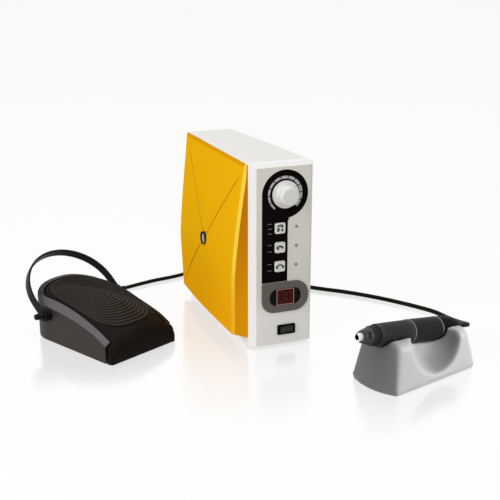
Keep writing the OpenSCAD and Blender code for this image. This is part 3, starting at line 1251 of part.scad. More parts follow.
// A tie: a flat band round all the turns of a coil, at the coil's right side
module tie_at(at, r, turns, d) {
    pitch = d + turn_gap;
    inner = r - pitch * turns / 2 - d / 2 - free;
    outer = r + d / 2 + free;
    high = tie_t + 2 * d + turn_gap + 2 * 0.3;
    translate([at[0], at[1] + tie_w / 2, 0]) rotate([90, 0, 0]) linear_extrude(tie_w) difference() {
        translate([inner - tie_t, 0]) square([outer - inner + 2 * tie_t, high + tie_t]);
        translate([inner, tie_t]) square([outer - inner, high - tie_t]);
    }
}
module cord_ties() color([0.15, 0.15, 0.15]) {
    tie_at(hand_coil_at, hand_coil_r, hand_coil_turns, hand_cord_d);
    tie_at(pedal_coil_at, pedal_coil_r, pedal_coil_turns, pedal_cord_d);
}

main_shell();
front_bezel();
rear_panel();
rubber_feet();
side_cover();
cover_screw();
panel_overlay();
display_surround();
display_window();
display_module();
front_board();
upper_key();
middle_key();
lower_key();
indicator_lamps();
potentiometer();
knob_shaft();
speed_knob();
rocker_housing();
power_rocker();
chassis();
transformer();
transformer_winding();
main_board();
mains_inlet();
handpiece_socket();
pedal_socket();
collet();
spindle();
spindle_bearings();
nose_cone();
chuck_ring();
front_grip();
trim_rings();
motor_sleeve();
motor_magnet();
motor_rotor();
brushes();
tail_cap();
handpiece_boot();
cradle();
pedal_base();
pedal_tread();
tread_mat();
tread_pin();
tread_spring();
pedal_switch();
carry_handle();
handle_screws();
pedal_boot();
pedal_cord();
pedal_coil();
pedal_lead();
pedal_plug();
handpiece_cord();
handpiece_coil();
handpiece_lead();
handpiece_plug();
cord_ties();
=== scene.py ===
import json
from math import copysign, cos, hypot, pi, radians, sin, sqrt

import bmesh
import bpy
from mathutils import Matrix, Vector


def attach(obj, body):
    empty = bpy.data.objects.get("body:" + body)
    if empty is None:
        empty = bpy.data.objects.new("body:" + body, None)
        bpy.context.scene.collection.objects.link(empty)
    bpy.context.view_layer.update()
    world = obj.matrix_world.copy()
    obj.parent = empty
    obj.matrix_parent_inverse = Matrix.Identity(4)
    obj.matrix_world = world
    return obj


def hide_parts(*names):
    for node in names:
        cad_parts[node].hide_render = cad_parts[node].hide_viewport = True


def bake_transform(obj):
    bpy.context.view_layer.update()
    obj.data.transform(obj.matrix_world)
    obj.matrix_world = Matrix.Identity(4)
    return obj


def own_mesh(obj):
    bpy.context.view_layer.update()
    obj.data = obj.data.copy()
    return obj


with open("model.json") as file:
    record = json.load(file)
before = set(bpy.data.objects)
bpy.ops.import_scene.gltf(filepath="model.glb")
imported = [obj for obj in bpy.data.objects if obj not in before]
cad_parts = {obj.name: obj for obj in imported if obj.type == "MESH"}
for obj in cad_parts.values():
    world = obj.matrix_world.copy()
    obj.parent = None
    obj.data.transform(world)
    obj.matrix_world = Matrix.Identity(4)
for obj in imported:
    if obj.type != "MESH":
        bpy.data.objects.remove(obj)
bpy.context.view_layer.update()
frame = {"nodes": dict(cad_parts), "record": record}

NODES = frame["nodes"]
BODY_OF = {n: b for b, members in frame["record"]["behaviour"]["bodies"].items() for n in members}
MM = 0.001
scene = bpy.context.scene

# Camera, found from the photograph's perspective
CAM_POS = Vector((-0.42523, -1.07798, 0.44681))
CAM_YAW, CAM_PITCH = radians(21.70), radians(17.394)
forward = Vector((sin(CAM_YAW) * cos(CAM_PITCH), cos(CAM_YAW) * cos(CAM_PITCH), -sin(CAM_PITCH)))
camera = bpy.data.objects.new("camera", bpy.data.cameras.new("camera"))
camera.data.lens = 72
camera.data.sensor_width = 36
camera.data.clip_start = 0.01
camera.location = CAM_POS
camera.rotation_euler = forward.to_track_quat("-Z", "Y").to_euler()
scene.collection.objects.link(camera)
scene.camera = camera


def lerp(a, b, t):
    return a + (b - a) * t


def clamp(t):
    return min(max(t, 0), 1)


def evaluated_mesh(obj):
    """A piece's mesh with its modifiers or bevel applied."""
    bpy.context.view_layer.update()
    return bpy.data.meshes.new_from_object(obj.evaluated_get(bpy.context.evaluated_depsgraph_get()))


def new_object(name, bm, body, smooth_angle, replaces=()):
    """Turns a bmesh into a piece that rides on a body."""
    mesh = bpy.data.meshes.new(name)
    bm.normal_update()
    bm.to_mesh(mesh)
    bm.free()
    for poly in mesh.polygons:
        poly.use_smooth = True
    mesh.set_sharp_from_angle(angle=radians(smooth_angle))
    obj = bpy.data.objects.new(name, mesh)
    scene.collection.objects.link(obj)
    if replaces:
        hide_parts(*replaces)
    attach(obj, body)
    return obj


# Cords: the same routes as the solids, in millimetres, drawn finer
HAND_D, PEDAL_D = 5.5, 5.0
TIE_T, TIE_GAP, TURN_GAP = 0.8, 0.3, 0.55
HAND_LOW = TIE_T + TIE_GAP + HAND_D / 2
HAND_HIGH = HAND_LOW + HAND_D + TURN_GAP
PEDAL_LOW = TIE_T + TIE_GAP + PEDAL_D / 2
PEDAL_HIGH = PEDAL_LOW + PEDAL_D + TURN_GAP
HAND_COIL = {"at": (112, 202), "reach": 38, "turns": 5.75, "pitch": HAND_D + TURN_GAP, "low": HAND_LOW}
PEDAL_COIL = {"at": (30, 200.5), "reach": 36.5, "turns": 6.75, "pitch": PEDAL_D + TURN_GAP, "low": PEDAL_LOW}
POINT_GAP = 2.2
PLUG_END, SOCKET_Z = 140.0, 38.0
CRADLE_AT, CRADLE_TURN = (104, -224.9), radians(17)
HAND_TILT, HAND_BACK, HAND_Z, HAND_END = radians(9.5), 88.1, 62.4, 162.5
HAND_DIR = Vector((cos(HAND_TILT) * cos(CRADLE_TURN), cos(HAND_TILT) * sin(CRADLE_TURN), -sin(HAND_TILT)))
HAND_POS = Vector((CRADLE_AT[0] - HAND_BACK * cos(CRADLE_TURN), CRADLE_AT[1] - HAND_BACK * sin(CRADLE_TURN),
                   HAND_Z))
PEDAL_POS, PEDAL_TURN = (-203.1, 34.8), radians(-63.5)


def pedal_point(s, v, z):
    """A place on the pedal: s towards its toe, v towards its far side."""
    return Vector((PEDAL_POS[0] + s * cos(PEDAL_TURN) - v * sin(PEDAL_TURN),
                   PEDAL_POS[1] + s * sin(PEDAL_TURN) + v * cos(PEDAL_TURN), z))


def laid(z, *places):
    """Points of a route that lie at one height."""
    return [(x, y, z) for x, y in places]


PEDAL_ROUTE = [
    tuple(pedal_point(-50, 0, 16)), (-229, 87, 15), (-230, 97, 10.5), (-226, 108, 6), (-217, 117, 3.5),
    *laid(PEDAL_D / 2, (-204, 124), (-187, 129), (-166, 133), (-142, 138), (-117, 145), (-94, 153),
          (-71, 160), (-49, 164), (-31, 169)),
    (-18, 177, 2.8), *laid(PEDAL_LOW, (-9, 188), (-6.5, 194.5), (-6.5, 200.5))]
PEDAL_LEAD = [
    (-20, PLUG_END, SOCKET_Z), (-20, PLUG_END + 6, 37.5), (-18.5, 152, 34.5), (-13, 160, 28), (-4, 164, 20),
    (6, 165, 14), (16, 164.5, PEDAL_HIGH + 1), *laid(PEDAL_HIGH, (24, 164), (30, 164))]
HAND_ROUTE = [
    tuple(HAND_POS + HAND_END * HAND_DIR), tuple(HAND_POS + (HAND_END + 8) * HAND_DIR), (187, -197.5, 32),
    (192.5, -190.5, 29), (197, -181.5, 25.5), (202, -171, 21.5), (207, -159, 17), (212, -146, 12.5),
    (216, -132, 8.5), (219, -118, 5),
    *laid(HAND_D / 2, (220, -102), (216, -82), (206, -61), (195, -42), (183, -23), (170, -5), (156, 12),
          (142, 27), (128, 40), (115, 53), (104, 67), (95, 84), (88, 104), (82, 125), (77, 147)),
    (75, 168, 3.05), (74, 185, HAND_LOW - 0.2), *laid(HAND_LOW, (74, 196), (74, 202))]
HAND_LEAD = [
    (5, PLUG_END, SOCKET_Z), (5, PLUG_END + 6, 37.5), (7, 150, 36), (15, 156, 32.5), (29, 157.5, 28),
    (45, 157.5, 23), (62, 158.5, 17.5), (80, 161, 13), (95, 163.5, HAND_HIGH + 0.6),
    *laid(HAND_HIGH, (106, 164), (112, 164))]


def spline(points, steps=8):
    """A smooth curve through the points."""
    p = [Vector(q) for q in points]
    out = []
    for i in range(len(p) - 1):
        a, b, c, d = p[max(i - 1, 0)], p[i], p[i + 1], p[min(i + 2, len(p) - 1)]
        for k in range(steps):
            t = k / steps
            out.append(0.5 * (2 * b + (c - a) * t + (2 * a - 5 * b + 4 * c - d) * t * t
                              + (3 * b - a - 3 * c + d) * t * t * t))
    return out + [p[-1]]


def coil(at, reach, turns, pitch, low, rings=72):
    """Two layers: in along the table, up where the spiral turns back, and out again."""
    count = round(turns * rings)
    out = []
    for i in range(count + 1):
        turn = turns * i / count
        r = reach - pitch * min(turn, turns - turn)
        a = pi - 2 * pi * turn
        t = clamp((turn - turns / 2 + 0.25) / 0.5)
        out.append(Vector((at[0] + r * cos(a), at[1] + r * sin(a), low + pitch * (1 - cos(pi * t)) / 2)))
    return out


def even(points, step, low):
    """The same path in metres with points at even distances, eased at its joins and kept on the table."""
    total = [0.0]
    for a, b in zip(points, points[1:]):
        total.append(total[-1] + (b - a).length)
    n = round(total[-1] / step)
    out, i = [], 0
    for k in range(n + 1):
        want = total[-1] * k / n
        while i < len(points) - 2 and total[i + 1] < want:
            i += 1
        span = max(total[i + 1] - total[i], 1e-9)
        out.append(points[i].lerp(points[i + 1], (want - total[i]) / span))
    for _ in range(2):
        eased = [(out[k - 1] + 2 * out[k] + out[k + 1]) / 4 for k in range(2, len(out) - 2)]
        out = out[:2] + eased + out[-2:]
    return [Vector((q.x, q.y, max(q.z, low))) * MM for q in out]


def cord_tube(name, points, diameter):
    """A round cord along a path, in metres."""
    curve = bpy.data.curves.new(name, "CURVE")
    curve.dimensions = "3D"
    curve.bevel_depth = diameter / 2 * MM
    curve.bevel_resolution = 3
    curve.use_fill_caps = True
    line = curve.splines.new("POLY")
    line.points.add(len(points) - 1)
    for knot, p in zip(line.points, points):
        knot.co = (*p, 1)
    line.use_smooth = True
    obj = bpy.data.objects.new(name, curve)
    scene.collection.objects.link(obj)
    return obj


def meshed(obj):
    """The same cord as a mesh."""
    mesh = evaluated_mesh(obj)
    name = obj.name
    bpy.data.objects.remove(obj)
    made = bpy.data.objects.new(name, mesh)
    scene.collection.objects.link(made)
    return made


hand_path = even(spline(HAND_ROUTE)[:-1] + coil(**HAND_COIL) + spline(HAND_LEAD)[::-1][1:],
                 POINT_GAP, HAND_D / 2)
pedal_path = even(spline(PEDAL_ROUTE)[:-1] + coil(**PEDAL_COIL) + spline(PEDAL_LEAD)[::-1][1:],
                  POINT_GAP, PEDAL_D / 2)
pedal_cord = meshed(cord_tube("pedal_cord_tube", pedal_path, PEDAL_D))
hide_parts("pedal_cord", "pedal_coil", "pedal_lead")
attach(pedal_cord, "root")
hand_cord = meshed(cord_tube("handpiece_cord_tube", hand_path, HAND_D))
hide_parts("handpiece_cord", "handpiece_coil", "handpiece_lead")
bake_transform(hand_cord)


# Materials
class Tree:
    """A node tree being built: each call adds a node, and most give back the socket it puts out."""

    def __init__(self, tree):
        self.nodes, self.links = tree.nodes, tree.links

    def node(self, kind, **settings):
        made = self.nodes.new("ShaderNode" + kind)
        for key, value in settings.items():
            setattr(made, key, value)
        return made

    def feed(self, socket, value):
        """Links a node's output to a socket, or sets a plain value on it."""
        if isinstance(value, bpy.types.NodeSocket):
            self.links.new(value, socket)
        else:
            socket.default_value = value

    def fed(self, made, inputs):
        """Feeds a node's inputs and gives back its outputs."""
        for key, value in inputs.items():
            self.feed(made.inputs[key], value)
        return made.outputs

    def place(self):
        return self.node("TexCoord").outputs["Object"]

    def axes(self):
        return self.fed(self.node("SeparateXYZ"), {0: self.place()})

    def math(self, operation, *values):
        return self.fed(self.node("Math", operation=operation), dict(enumerate(values)))[0]

    def measure(self, operation, place, vector):
        """A place's distance from a point, or how far it lies along a direction."""
        return self.fed(self.node("VectorMath", operation=operation), {0: place, 1: vector})["Value"]

    def fade(self, value, start, end, low, high, kind="SMOOTHSTEP"):
        """Goes from low to high as the value goes from start to end."""
        return self.fed(self.node("MapRange", interpolation_type=kind), {
            "Value": value, "From Min": start, "From Max": end, "To Min": low, "To Max": high})[0]

    def mix(self, share, under, over, blend_type="MIX"):
        """Two colours mixed."""
        return self.fed(self.node("Mix", data_type="RGBA", blend_type=blend_type),
                        {"Factor": share, 6: under, 7: over})[2]

    def blend(self, share, first, second):
        """Two shaders mixed."""
        return self.fed(self.node("MixShader"), {0: share, 1: first, 2: second})[0]

    def noise(self, place, scale, detail):
        return self.fed(self.node("TexNoise"), {"Vector": place, "Scale": scale, "Detail": detail})["Fac"]

    def bump(self, height, strength, distance):
        return self.fed(self.node("Bump"), {
            "Height": height, "Strength": strength, "Distance": distance})["Normal"]


# Shared shader groups
FINISH = [("NodeSocketColor", "Colour"), ("NodeSocketFloat", "Roughness"), ("NodeSocketVector", "Normal")]


def group(name, inputs):
    """A shader group that puts out a finish, with its input and output nodes."""
    g = bpy.data.node_groups.new(name, "ShaderNodeTree")
    for kind, label, value in inputs:
        g.interface.new_socket(label, in_out="INPUT", socket_type=kind).default_value = value
    for kind, label in FINISH:
        g.interface.new_socket(label, in_out="OUTPUT", socket_type=kind)
    return g, g.nodes.new("NodeGroupInput").outputs, g.nodes.new("NodeGroupOutput").inputs


def moulded_group():
    """Moulded plastic: faint mottling, uneven gloss and a fine grain."""
    g, given, out = group("moulded", [
        ("NodeSocketColor", "Colour", (0.8, 0.8, 0.8, 1)), ("NodeSocketColor", "Shade", (0.7, 0.7, 0.7, 1)),
        ("NodeSocketFloat", "Grain", 900.0), ("NodeSocketFloat", "Roughness", 0.4),
        ("NodeSocketFloat", "Spread", 0.08), ("NodeSocketFloat", "Bump", 0.15)])
    t = Tree(g)
    place = t.place()
    t.feed(out["Colour"], t.mix(t.noise(place, 14, 4), given["Shade"], given["Colour"]))
    smear = t.math("SUBTRACT", t.noise(place, 60, 3), 0.5)
    t.feed(out["Roughness"], t.math("MULTIPLY_ADD", smear, given["Spread"], given["Roughness"]))
    t.feed(out["Normal"], t.bump(t.noise(place, given["Grain"], 2), given["Bump"], 0.0002))
    return g


def turned_group():
    """Turned metal: rings round the handpiece's axis, with uneven gloss."""
    g, given, out = group("turned", [
        ("NodeSocketColor", "Colour", (0.8, 0.8, 0.8, 1)), ("NodeSocketFloat", "Roughness", 0.3),
        ("NodeSocketFloat", "Bump", 0.2), ("NodeSocketFloat", "Rings", 900.0)])
    t = Tree(g)
    along = t.measure("DOT_PRODUCT", t.place(), HAND_DIR)
    lines = t.fed(t.node("TexNoise", noise_dimensions="1D"), {
        "W": along, "Scale": given["Rings"], "Detail": 3})
    t.feed(out["Colour"], t.mix(0.35, given["Colour"], lines["Color"], "MULTIPLY"))
    t.feed(out["Roughness"], t.math("MULTIPLY_ADD", lines["Fac"], 0.12, given["Roughness"]))
    t.feed(out["Normal"], t.bump(lines["Fac"], given["Bump"], 0.0001))
    return g


MOULDED = moulded_group()
TURNED = turned_group()


def shaded(name, tree, values, metallic=0.0, specular=0.5):
    """A material: one of the shared groups into a surface shader."""
    m = bpy.data.materials.new(name)
    m.use_nodes = True
    t = Tree(m.node_tree)
    finish = t.fed(t.node("Group", node_tree=tree), values)
    t.fed(t.nodes["Principled BSDF"], {
        "Base Color": finish["Colour"], "Roughness": finish["Roughness"], "Normal": finish["Normal"],
        "Metallic": metallic, "Specular IOR Level": specular})
    return m


def plastic(name, colour, shade, grain, rough, spread, bump, **more):
    dark = tuple(c * shade for c in colour)
    return shaded(name, MOULDED, {"Colour": (*colour, 1), "Shade": (*dark, 1), "Grain": grain,
                                  "Roughness": rough, "Spread": spread, "Bump": bump}, **more)


def metal(name, colour, rough, bump, rings=900, metallic=1.0, **more):
    return shaded(name, TURNED, {"Colour": (*colour, 1), "Roughness": rough, "Bump": bump, "Rings": rings},
                  metallic=metallic, **more)


def tinted(material, colour, share):
    """Mixes a colour into a material's own, by a share that a function makes in its node tree."""
    t = Tree(material.node_tree)
    tone = t.nodes["Principled BSDF"].inputs["Base Color"]
    t.feed(tone, t.mix(share(t), tone.links[0].from_socket, (*colour, 1)))


white = plastic("white_satin", (0.83, 0.81, 0.775), 0.97, 1400, 0.38, 0.08, 0.06)
white_key = plastic("white_key", (0.83, 0.82, 0.8), 0.95, 1500, 0.32, 0.08, 0.05)
# A paler copy of the bezel's white for its faces turned left or up: painted highlight
bevel_painted_highlight = plastic("bevel_painted_highlight", (0.93, 0.925, 0.91), 0.98, 1400, 0.38, 0.08, 0.06)
bezel_white = plastic("bezel_white", (0.82, 0.785, 0.715), 0.97, 1400, 0.38, 0.08, 0.06)
black_gloss = plastic("black_gloss", (0.006, 0.0045, 0.004), 0.7, 1200, 0.3, 0.1, 0.04, specular=0.008)
grey_soft = plastic("grey_soft", (0.14, 0.125, 0.115), 0.85, 1300, 0.45, 0.1, 0.1, specular=0.25)
window_red = plastic("window_red", (0.05, 0.007, 0.006), 0.8, 400, 0.12, 0.05, 0.02, specular=0.2)
window_black = plastic("window_black", (0.007, 0.006, 0.006), 0.8, 400, 0.14, 0.05, 0.02, specular=0.15)
segment_red = plastic("segment_red", (0.09, 0.01, 0.009), 0.9, 900, 0.3, 0.05, 0.02, specular=0.2)
frame_pink = plastic("frame_pink", (0.55, 0.3, 0.28), 0.95, 900, 0.35, 0.05, 0.02)
mark_white = plastic("mark_white", (0.52, 0.5, 0.5), 0.9, 1500, 0.5, 0.05, 0.03)
mark_grey = plastic("mark_grey", (0.2, 0.19, 0.18), 0.9, 1500, 0.5, 0.05, 0.03)
mark_black = plastic("mark_black", (0.012, 0.011, 0.01), 0.9, 1500, 0.5, 0.05, 0.03)
switch_dark = plastic("switch_dark", (0.012, 0.024, 0.02), 0.8, 1200, 0.3, 0.1, 0.05, specular=0.25)
lamp_clear = plastic("lamp_clear", (0.3, 0.29, 0.27), 0.8, 800, 0.2, 0.05, 0.03)
cradle_grey = plastic("cradle_grey", (0.29, 0.29, 0.293), 0.96, 1500, 0.5, 0.08, 0.08, specular=0.2)
pedal_side = plastic("pedal_side", (0.037, 0.0295, 0.027), 0.85, 1500, 0.5, 0.12, 0.2, specular=0.16)
pedal_band = plastic("pedal_band", (0.105, 0.092, 0.1), 0.85, 1500, 0.4, 0.12, 0.25, specular=0.3)
pedal_top = plastic("pedal_top", (0.011, 0.0088, 0.0076), 0.8, 1400, 0.36, 0.1, 0.12, specular=0.025)
mat_rubber = plastic("mat_rubber", (0.009, 0.0075, 0.0065), 0.75, 1800, 0.42, 0.12, 0.2, specular=0.06)
# Rib crests: a paler copy of the mat's rubber, as painted highlight
mat_rib_highlight = plastic("mat_rib_highlight", (0.034, 0.028, 0.024), 0.8, 1800, 0.42, 0.12, 0.2, specular=0.1)
strap_black = plastic("strap_black", (0.012, 0.011, 0.011), 0.8, 1300, 0.33, 0.1, 0.1, specular=0.06)
rubber = plastic("rubber_black", (0.012, 0.011, 0.01), 0.75, 1600, 0.55, 0.1, 0.2, specular=0.2)
cord_skin = plastic("cord_skin", (0.011, 0.0066, 0.0038), 0.75, 1800, 0.42, 0.1, 0.12, specular=0.06)
board_green = plastic("board_green", (0.02, 0.12, 0.04), 0.7, 500, 0.4, 0.1, 0.3)
iron = plastic("core_iron", (0.2, 0.19, 0.18), 0.8, 700, 0.5, 0.1, 0.3, metallic=0.6)
copper = metal("copper_wire", (0.7, 0.34, 0.15), 0.3, 0.4, 1500)
steel = metal("steel_satin", (0.62, 0.62, 0.64), 0.28, 0.25)
chrome = metal("chrome", (0.85, 0.85, 0.87), 0.06, 0.08, 500)
trim_steel = metal("trim_steel", (0.2, 0.2, 0.205), 0.22, 0.1, 900)
screw_steel = metal("screw_steel", (0.33, 0.33, 0.34), 0.2, 0.1, 900)
hand_dark = metal("hand_dark", (0.032, 0.032, 0.033), 0.36, 0.35, 2600, metallic=0.0, specular=0.04)
hand_grip = metal("hand_grip", (0.034, 0.034, 0.035), 0.42, 0.8, 1500, metallic=0.0, specular=0.2)
hand_tail = plastic("hand_tail", (0.014, 0.014, 0.015), 0.8, 1500, 0.4, 0.1, 0.15, specular=0.012)
nose_grey = metal("nose_grey", (0.05, 0.05, 0.052), 0.34, 0.4, 1800, metallic=0.1, specular=0.25)

for nodes, material in (
    ("main_shell rear_panel side_cover", white), ("front_bezel", bezel_white),
    ("speed_knob upper_key middle_key lower_key", white_key), ("panel_overlay rocker_housing", black_gloss),
    ("display_surround display_module", grey_soft), ("display_window", window_black),
    ("power_rocker", switch_dark), ("indicator_lamps", lamp_clear), ("front_board main_board", board_green),
    ("transformer motor_magnet", iron), ("transformer_winding motor_rotor", copper), ("collet", chrome),
    ("cover_screw", screw_steel), ("trim_rings", trim_steel),
    ("potentiometer knob_shaft chassis handpiece_socket pedal_socket", steel),
    ("spindle spindle_bearings tread_pin tread_spring", steel), ("cradle", cradle_grey),
    ("pedal_base", pedal_side), ("pedal_tread", pedal_top), ("tread_mat", mat_rubber),
    ("carry_handle handle_screws", strap_black), ("mains_inlet pedal_switch brushes", black_gloss),
    ("rubber_feet handpiece_boot pedal_boot cord_ties pedal_plug handpiece_plug", rubber),
    ("nose_cone", nose_grey), ("chuck_ring motor_sleeve", hand_dark), ("front_grip", hand_grip),
    ("tail_cap", hand_tail),
):
    for name in nodes.split():
        data = NODES[name].data
        data.materials.clear()
        data.materials.append(material)
for cord in (hand_cord, pedal_cord):
    cord.data.materials.append(cord_skin)


def copy_of(node):
    """A merged copy of a CAD mesh, with flat faces joined."""
    bm = bmesh.new()
    bm.from_mesh(NODES[node].data)
    bmesh.ops.remove_doubles(bm, verts=bm.verts, dist=2e-6)
    bmesh.ops.dissolve_limit(bm, angle_limit=radians(0.6), verts=bm.verts, edges=bm.edges)
    return bm


SHARP = radians(35)


def softened(node, width, material):
    """The CAD form with its sharp edges rounded over."""
    bm = copy_of(node)
    edges = [e for e in bm.edges if len(e.link_faces) == 2 and e.calc_face_angle(0) > SHARP]
    bmesh.ops.bevel(bm, geom=edges, offset=width * MM, offset_type="OFFSET", segments=3, profile=0.5,
                    affect="EDGES", clamp_overlap=True, material=-1)
    obj = new_object(node + "_soft", bm, BODY_OF[node], 50, (node,))
    obj.data.materials.append(material)
    obj.modifiers.new("normals", "WEIGHTED_NORMAL").keep_sharp = True
    return obj


# Control unit: the bezel is painted paler low down, as painted light, and its bevel and upward faces take a
# paler white, as painted highlight
softened("main_shell", 0.9, white)
# Painted light: the bezel's white mixed paler from 70 mm down to 28 mm above the table
tinted(bezel_white, (0.93, 0.91, 0.865), lambda t: t.fade(t.axes()["Z"], 28 * MM, 70 * MM, 1.0, 0.0))
bezel = softened("front_bezel", 0.7, bezel_white)
bezel.data.materials.append(bevel_painted_highlight)
# Painted highlight: the bezel's faces turned to the left or upwards take the paler white
for poly in bezel.data.polygons:
    if poly.normal.x < -0.25 or poly.normal.z > 0.3:
        poly.material_index = 1
softened("display_surround", 0.8, grey_soft)
for key in ("upper_key", "middle_key", "lower_key"):
    softened(key, 0.55, white_key)
softened("rocker_housing", 0.35, black_gloss)
softened("power_rocker", 0.4, switch_dark)
softened("speed_knob", 0.6, white_key)

# Side cover: the solid's bulge drawn finely, with a rounded rim
UNIT_W, UNIT_D, UNIT_H = 75.0, 210.0, 213.0
FRONT_Y, LEFT_X = -UNIT_D / 2, -UNIT_W / 2
COVER_Y0, COVER_Y1, COVER_Z0, COVER_Z1 = FRONT_Y + 7.35, UNIT_D / 2, 12.0, UNIT_H - 0.6
COVER_D, COVER_H = COVER_Y1 - COVER_Y0, COVER_Z1 - COVER_Z0
COVER_BULGE, COVER_TOP, COVER_RISE, REAR_FALL, LOW_FALL = 18.5, 2.2, 0.65, 0.28, 0.2
COVER_TUCK, COVER_CROSS, COVER_BACK = 5.0, 0.54, LEFT_X - 0.05
HUB_Y, HUB_Z = (COVER_Y0 + COVER_Y1) / 2, lerp(COVER_Z1, COVER_Z0, COVER_CROSS)
CREASE_W, CREASE_DEPTH, CREASE_END, CREASE_FADE = 0.6, 0.5, 0.93, 0.2
RIM_R, BEVEL_W, BEVEL_SLOPE, COVER_CELLS = 3.2, 4.6, 0.62, 110


def crease_share(y, z):
    """How deep the creases are at a point: full on their lines, none beside them or close to the corners."""
    across = abs(y - HUB_Y) / (COVER_D / 2)
    reach = (COVER_Z1 - HUB_Z) if z > HUB_Z else (HUB_Z - COVER_Z0)
    off = abs(abs(z - HUB_Z) - across * reach) * COVER_D / 2 / hypot(COVER_D / 2, reach)
    return max(1 - off / CREASE_W, 0) * clamp((CREASE_END - across) / CREASE_FADE)


def cover_bulge(along, down):
    """How far the cover stands out, at shares of its length from the front and of its height from the top."""
    grow = 1 - (1 - min(down / COVER_RISE, 1)) ** 1.3
    fall = REAR_FALL + LOW_FALL * max(0, (down - COVER_RISE) / (1 - COVER_RISE))
    return COVER_TOP + (COVER_BULGE - COVER_TOP) * grow * (1 - fall * along ** 2.5)


def cut_creases(bm):
    """Cuts a grid along the lines of the creases and along both edges of each."""
    hub = Vector((0, HUB_Y, HUB_Z))
    for cy, cz in ((COVER_Y0, COVER_Z1), (COVER_Y1, COVER_Z1), (COVER_Y0, COVER_Z0), (COVER_Y1, COVER_Z0)):
        run = Vector((0, cy, cz)) - hub
        side = Vector((0, -run.z, run.y)).normalized()
        for shift in (-CREASE_W, 0, CREASE_W):
            faces = [f for f in bm.faces if (f.calc_center_median() - hub).dot(run) > 0
                     and abs((f.calc_center_median() - hub).dot(side)) < 6]
            edges, verts = {e for f in faces for e in f.edges}, {v for f in faces for v in f.verts}
            bmesh.ops.bisect_plane(bm, geom=faces + list(edges) + list(verts), dist=1e-5,
                                   plane_co=hub + side * shift, plane_no=side)


def side_cover():
    """A grid laid over the cover's rectangle, creased and bulged, with its rim turned back to the shell."""
    bm = bmesh.new()
    bmesh.ops.create_grid(bm, x_segments=COVER_CELLS, y_segments=COVER_CELLS, size=1.0)

    def crowd(t):
        """Moves a grid line, from -1 to 1, closer to the rim."""
        return (1 + sin(pi / 2 * t) * 0.75 + t * 0.25) / 2
    for v in bm.verts:
        v.co = Vector((0, lerp(COVER_Y0, COVER_Y1, crowd(v.co.x)), lerp(COVER_Z1, COVER_Z0, crowd(-v.co.y))))
    cut_creases(bm)
    for v in bm.verts:
        along, down = clamp((v.co.y - COVER_Y0) / COVER_D), clamp((COVER_Z1 - v.co.z) / COVER_H)
        thick = cover_bulge(along, down)
        thick -= CREASE_DEPTH * crease_share(v.co.y, v.co.z)
        near = min((1 - along) * COVER_D, down * COVER_H, (1 - down) * COVER_H)
        r = min(RIM_R, thick * 0.6)
        if near < r:
            thick -= r - sqrt(max(r * r - (r - near) ** 2, 0))
        thick -= min(BEVEL_SLOPE * max(BEVEL_W - along * COVER_D, 0), thick * 0.6)
        tuck = COVER_TUCK * (1 - along) * max(0, (down - 0.9) / 0.1) ** 1.5
        y, z = lerp(COVER_Y0, COVER_Y1, along), lerp(COVER_Z1, COVER_Z0, down) + tuck
        v.co = Vector((COVER_BACK - thick, y, z)) * MM
    rim = [e for e in bm.edges if e.is_boundary]
    skirt = bmesh.ops.extrude_edge_only(bm, edges=rim)["geom"]
    for v in skirt:
        if isinstance(v, bmesh.types.BMVert):
            v.co.x = COVER_BACK * MM
            if v.co.z < COVER_Z0 * MM + COVER_TUCK * MM + 1e-6:
                v.co.z = COVER_Z0 * MM
    bmesh.ops.contextual_create(bm, geom=[e for e in bm.edges if e.is_boundary])
    bmesh.ops.recalc_face_normals(bm, faces=bm.faces)
    return new_object("side_cover_moulded", bm, "root", 32, ("side_cover",))


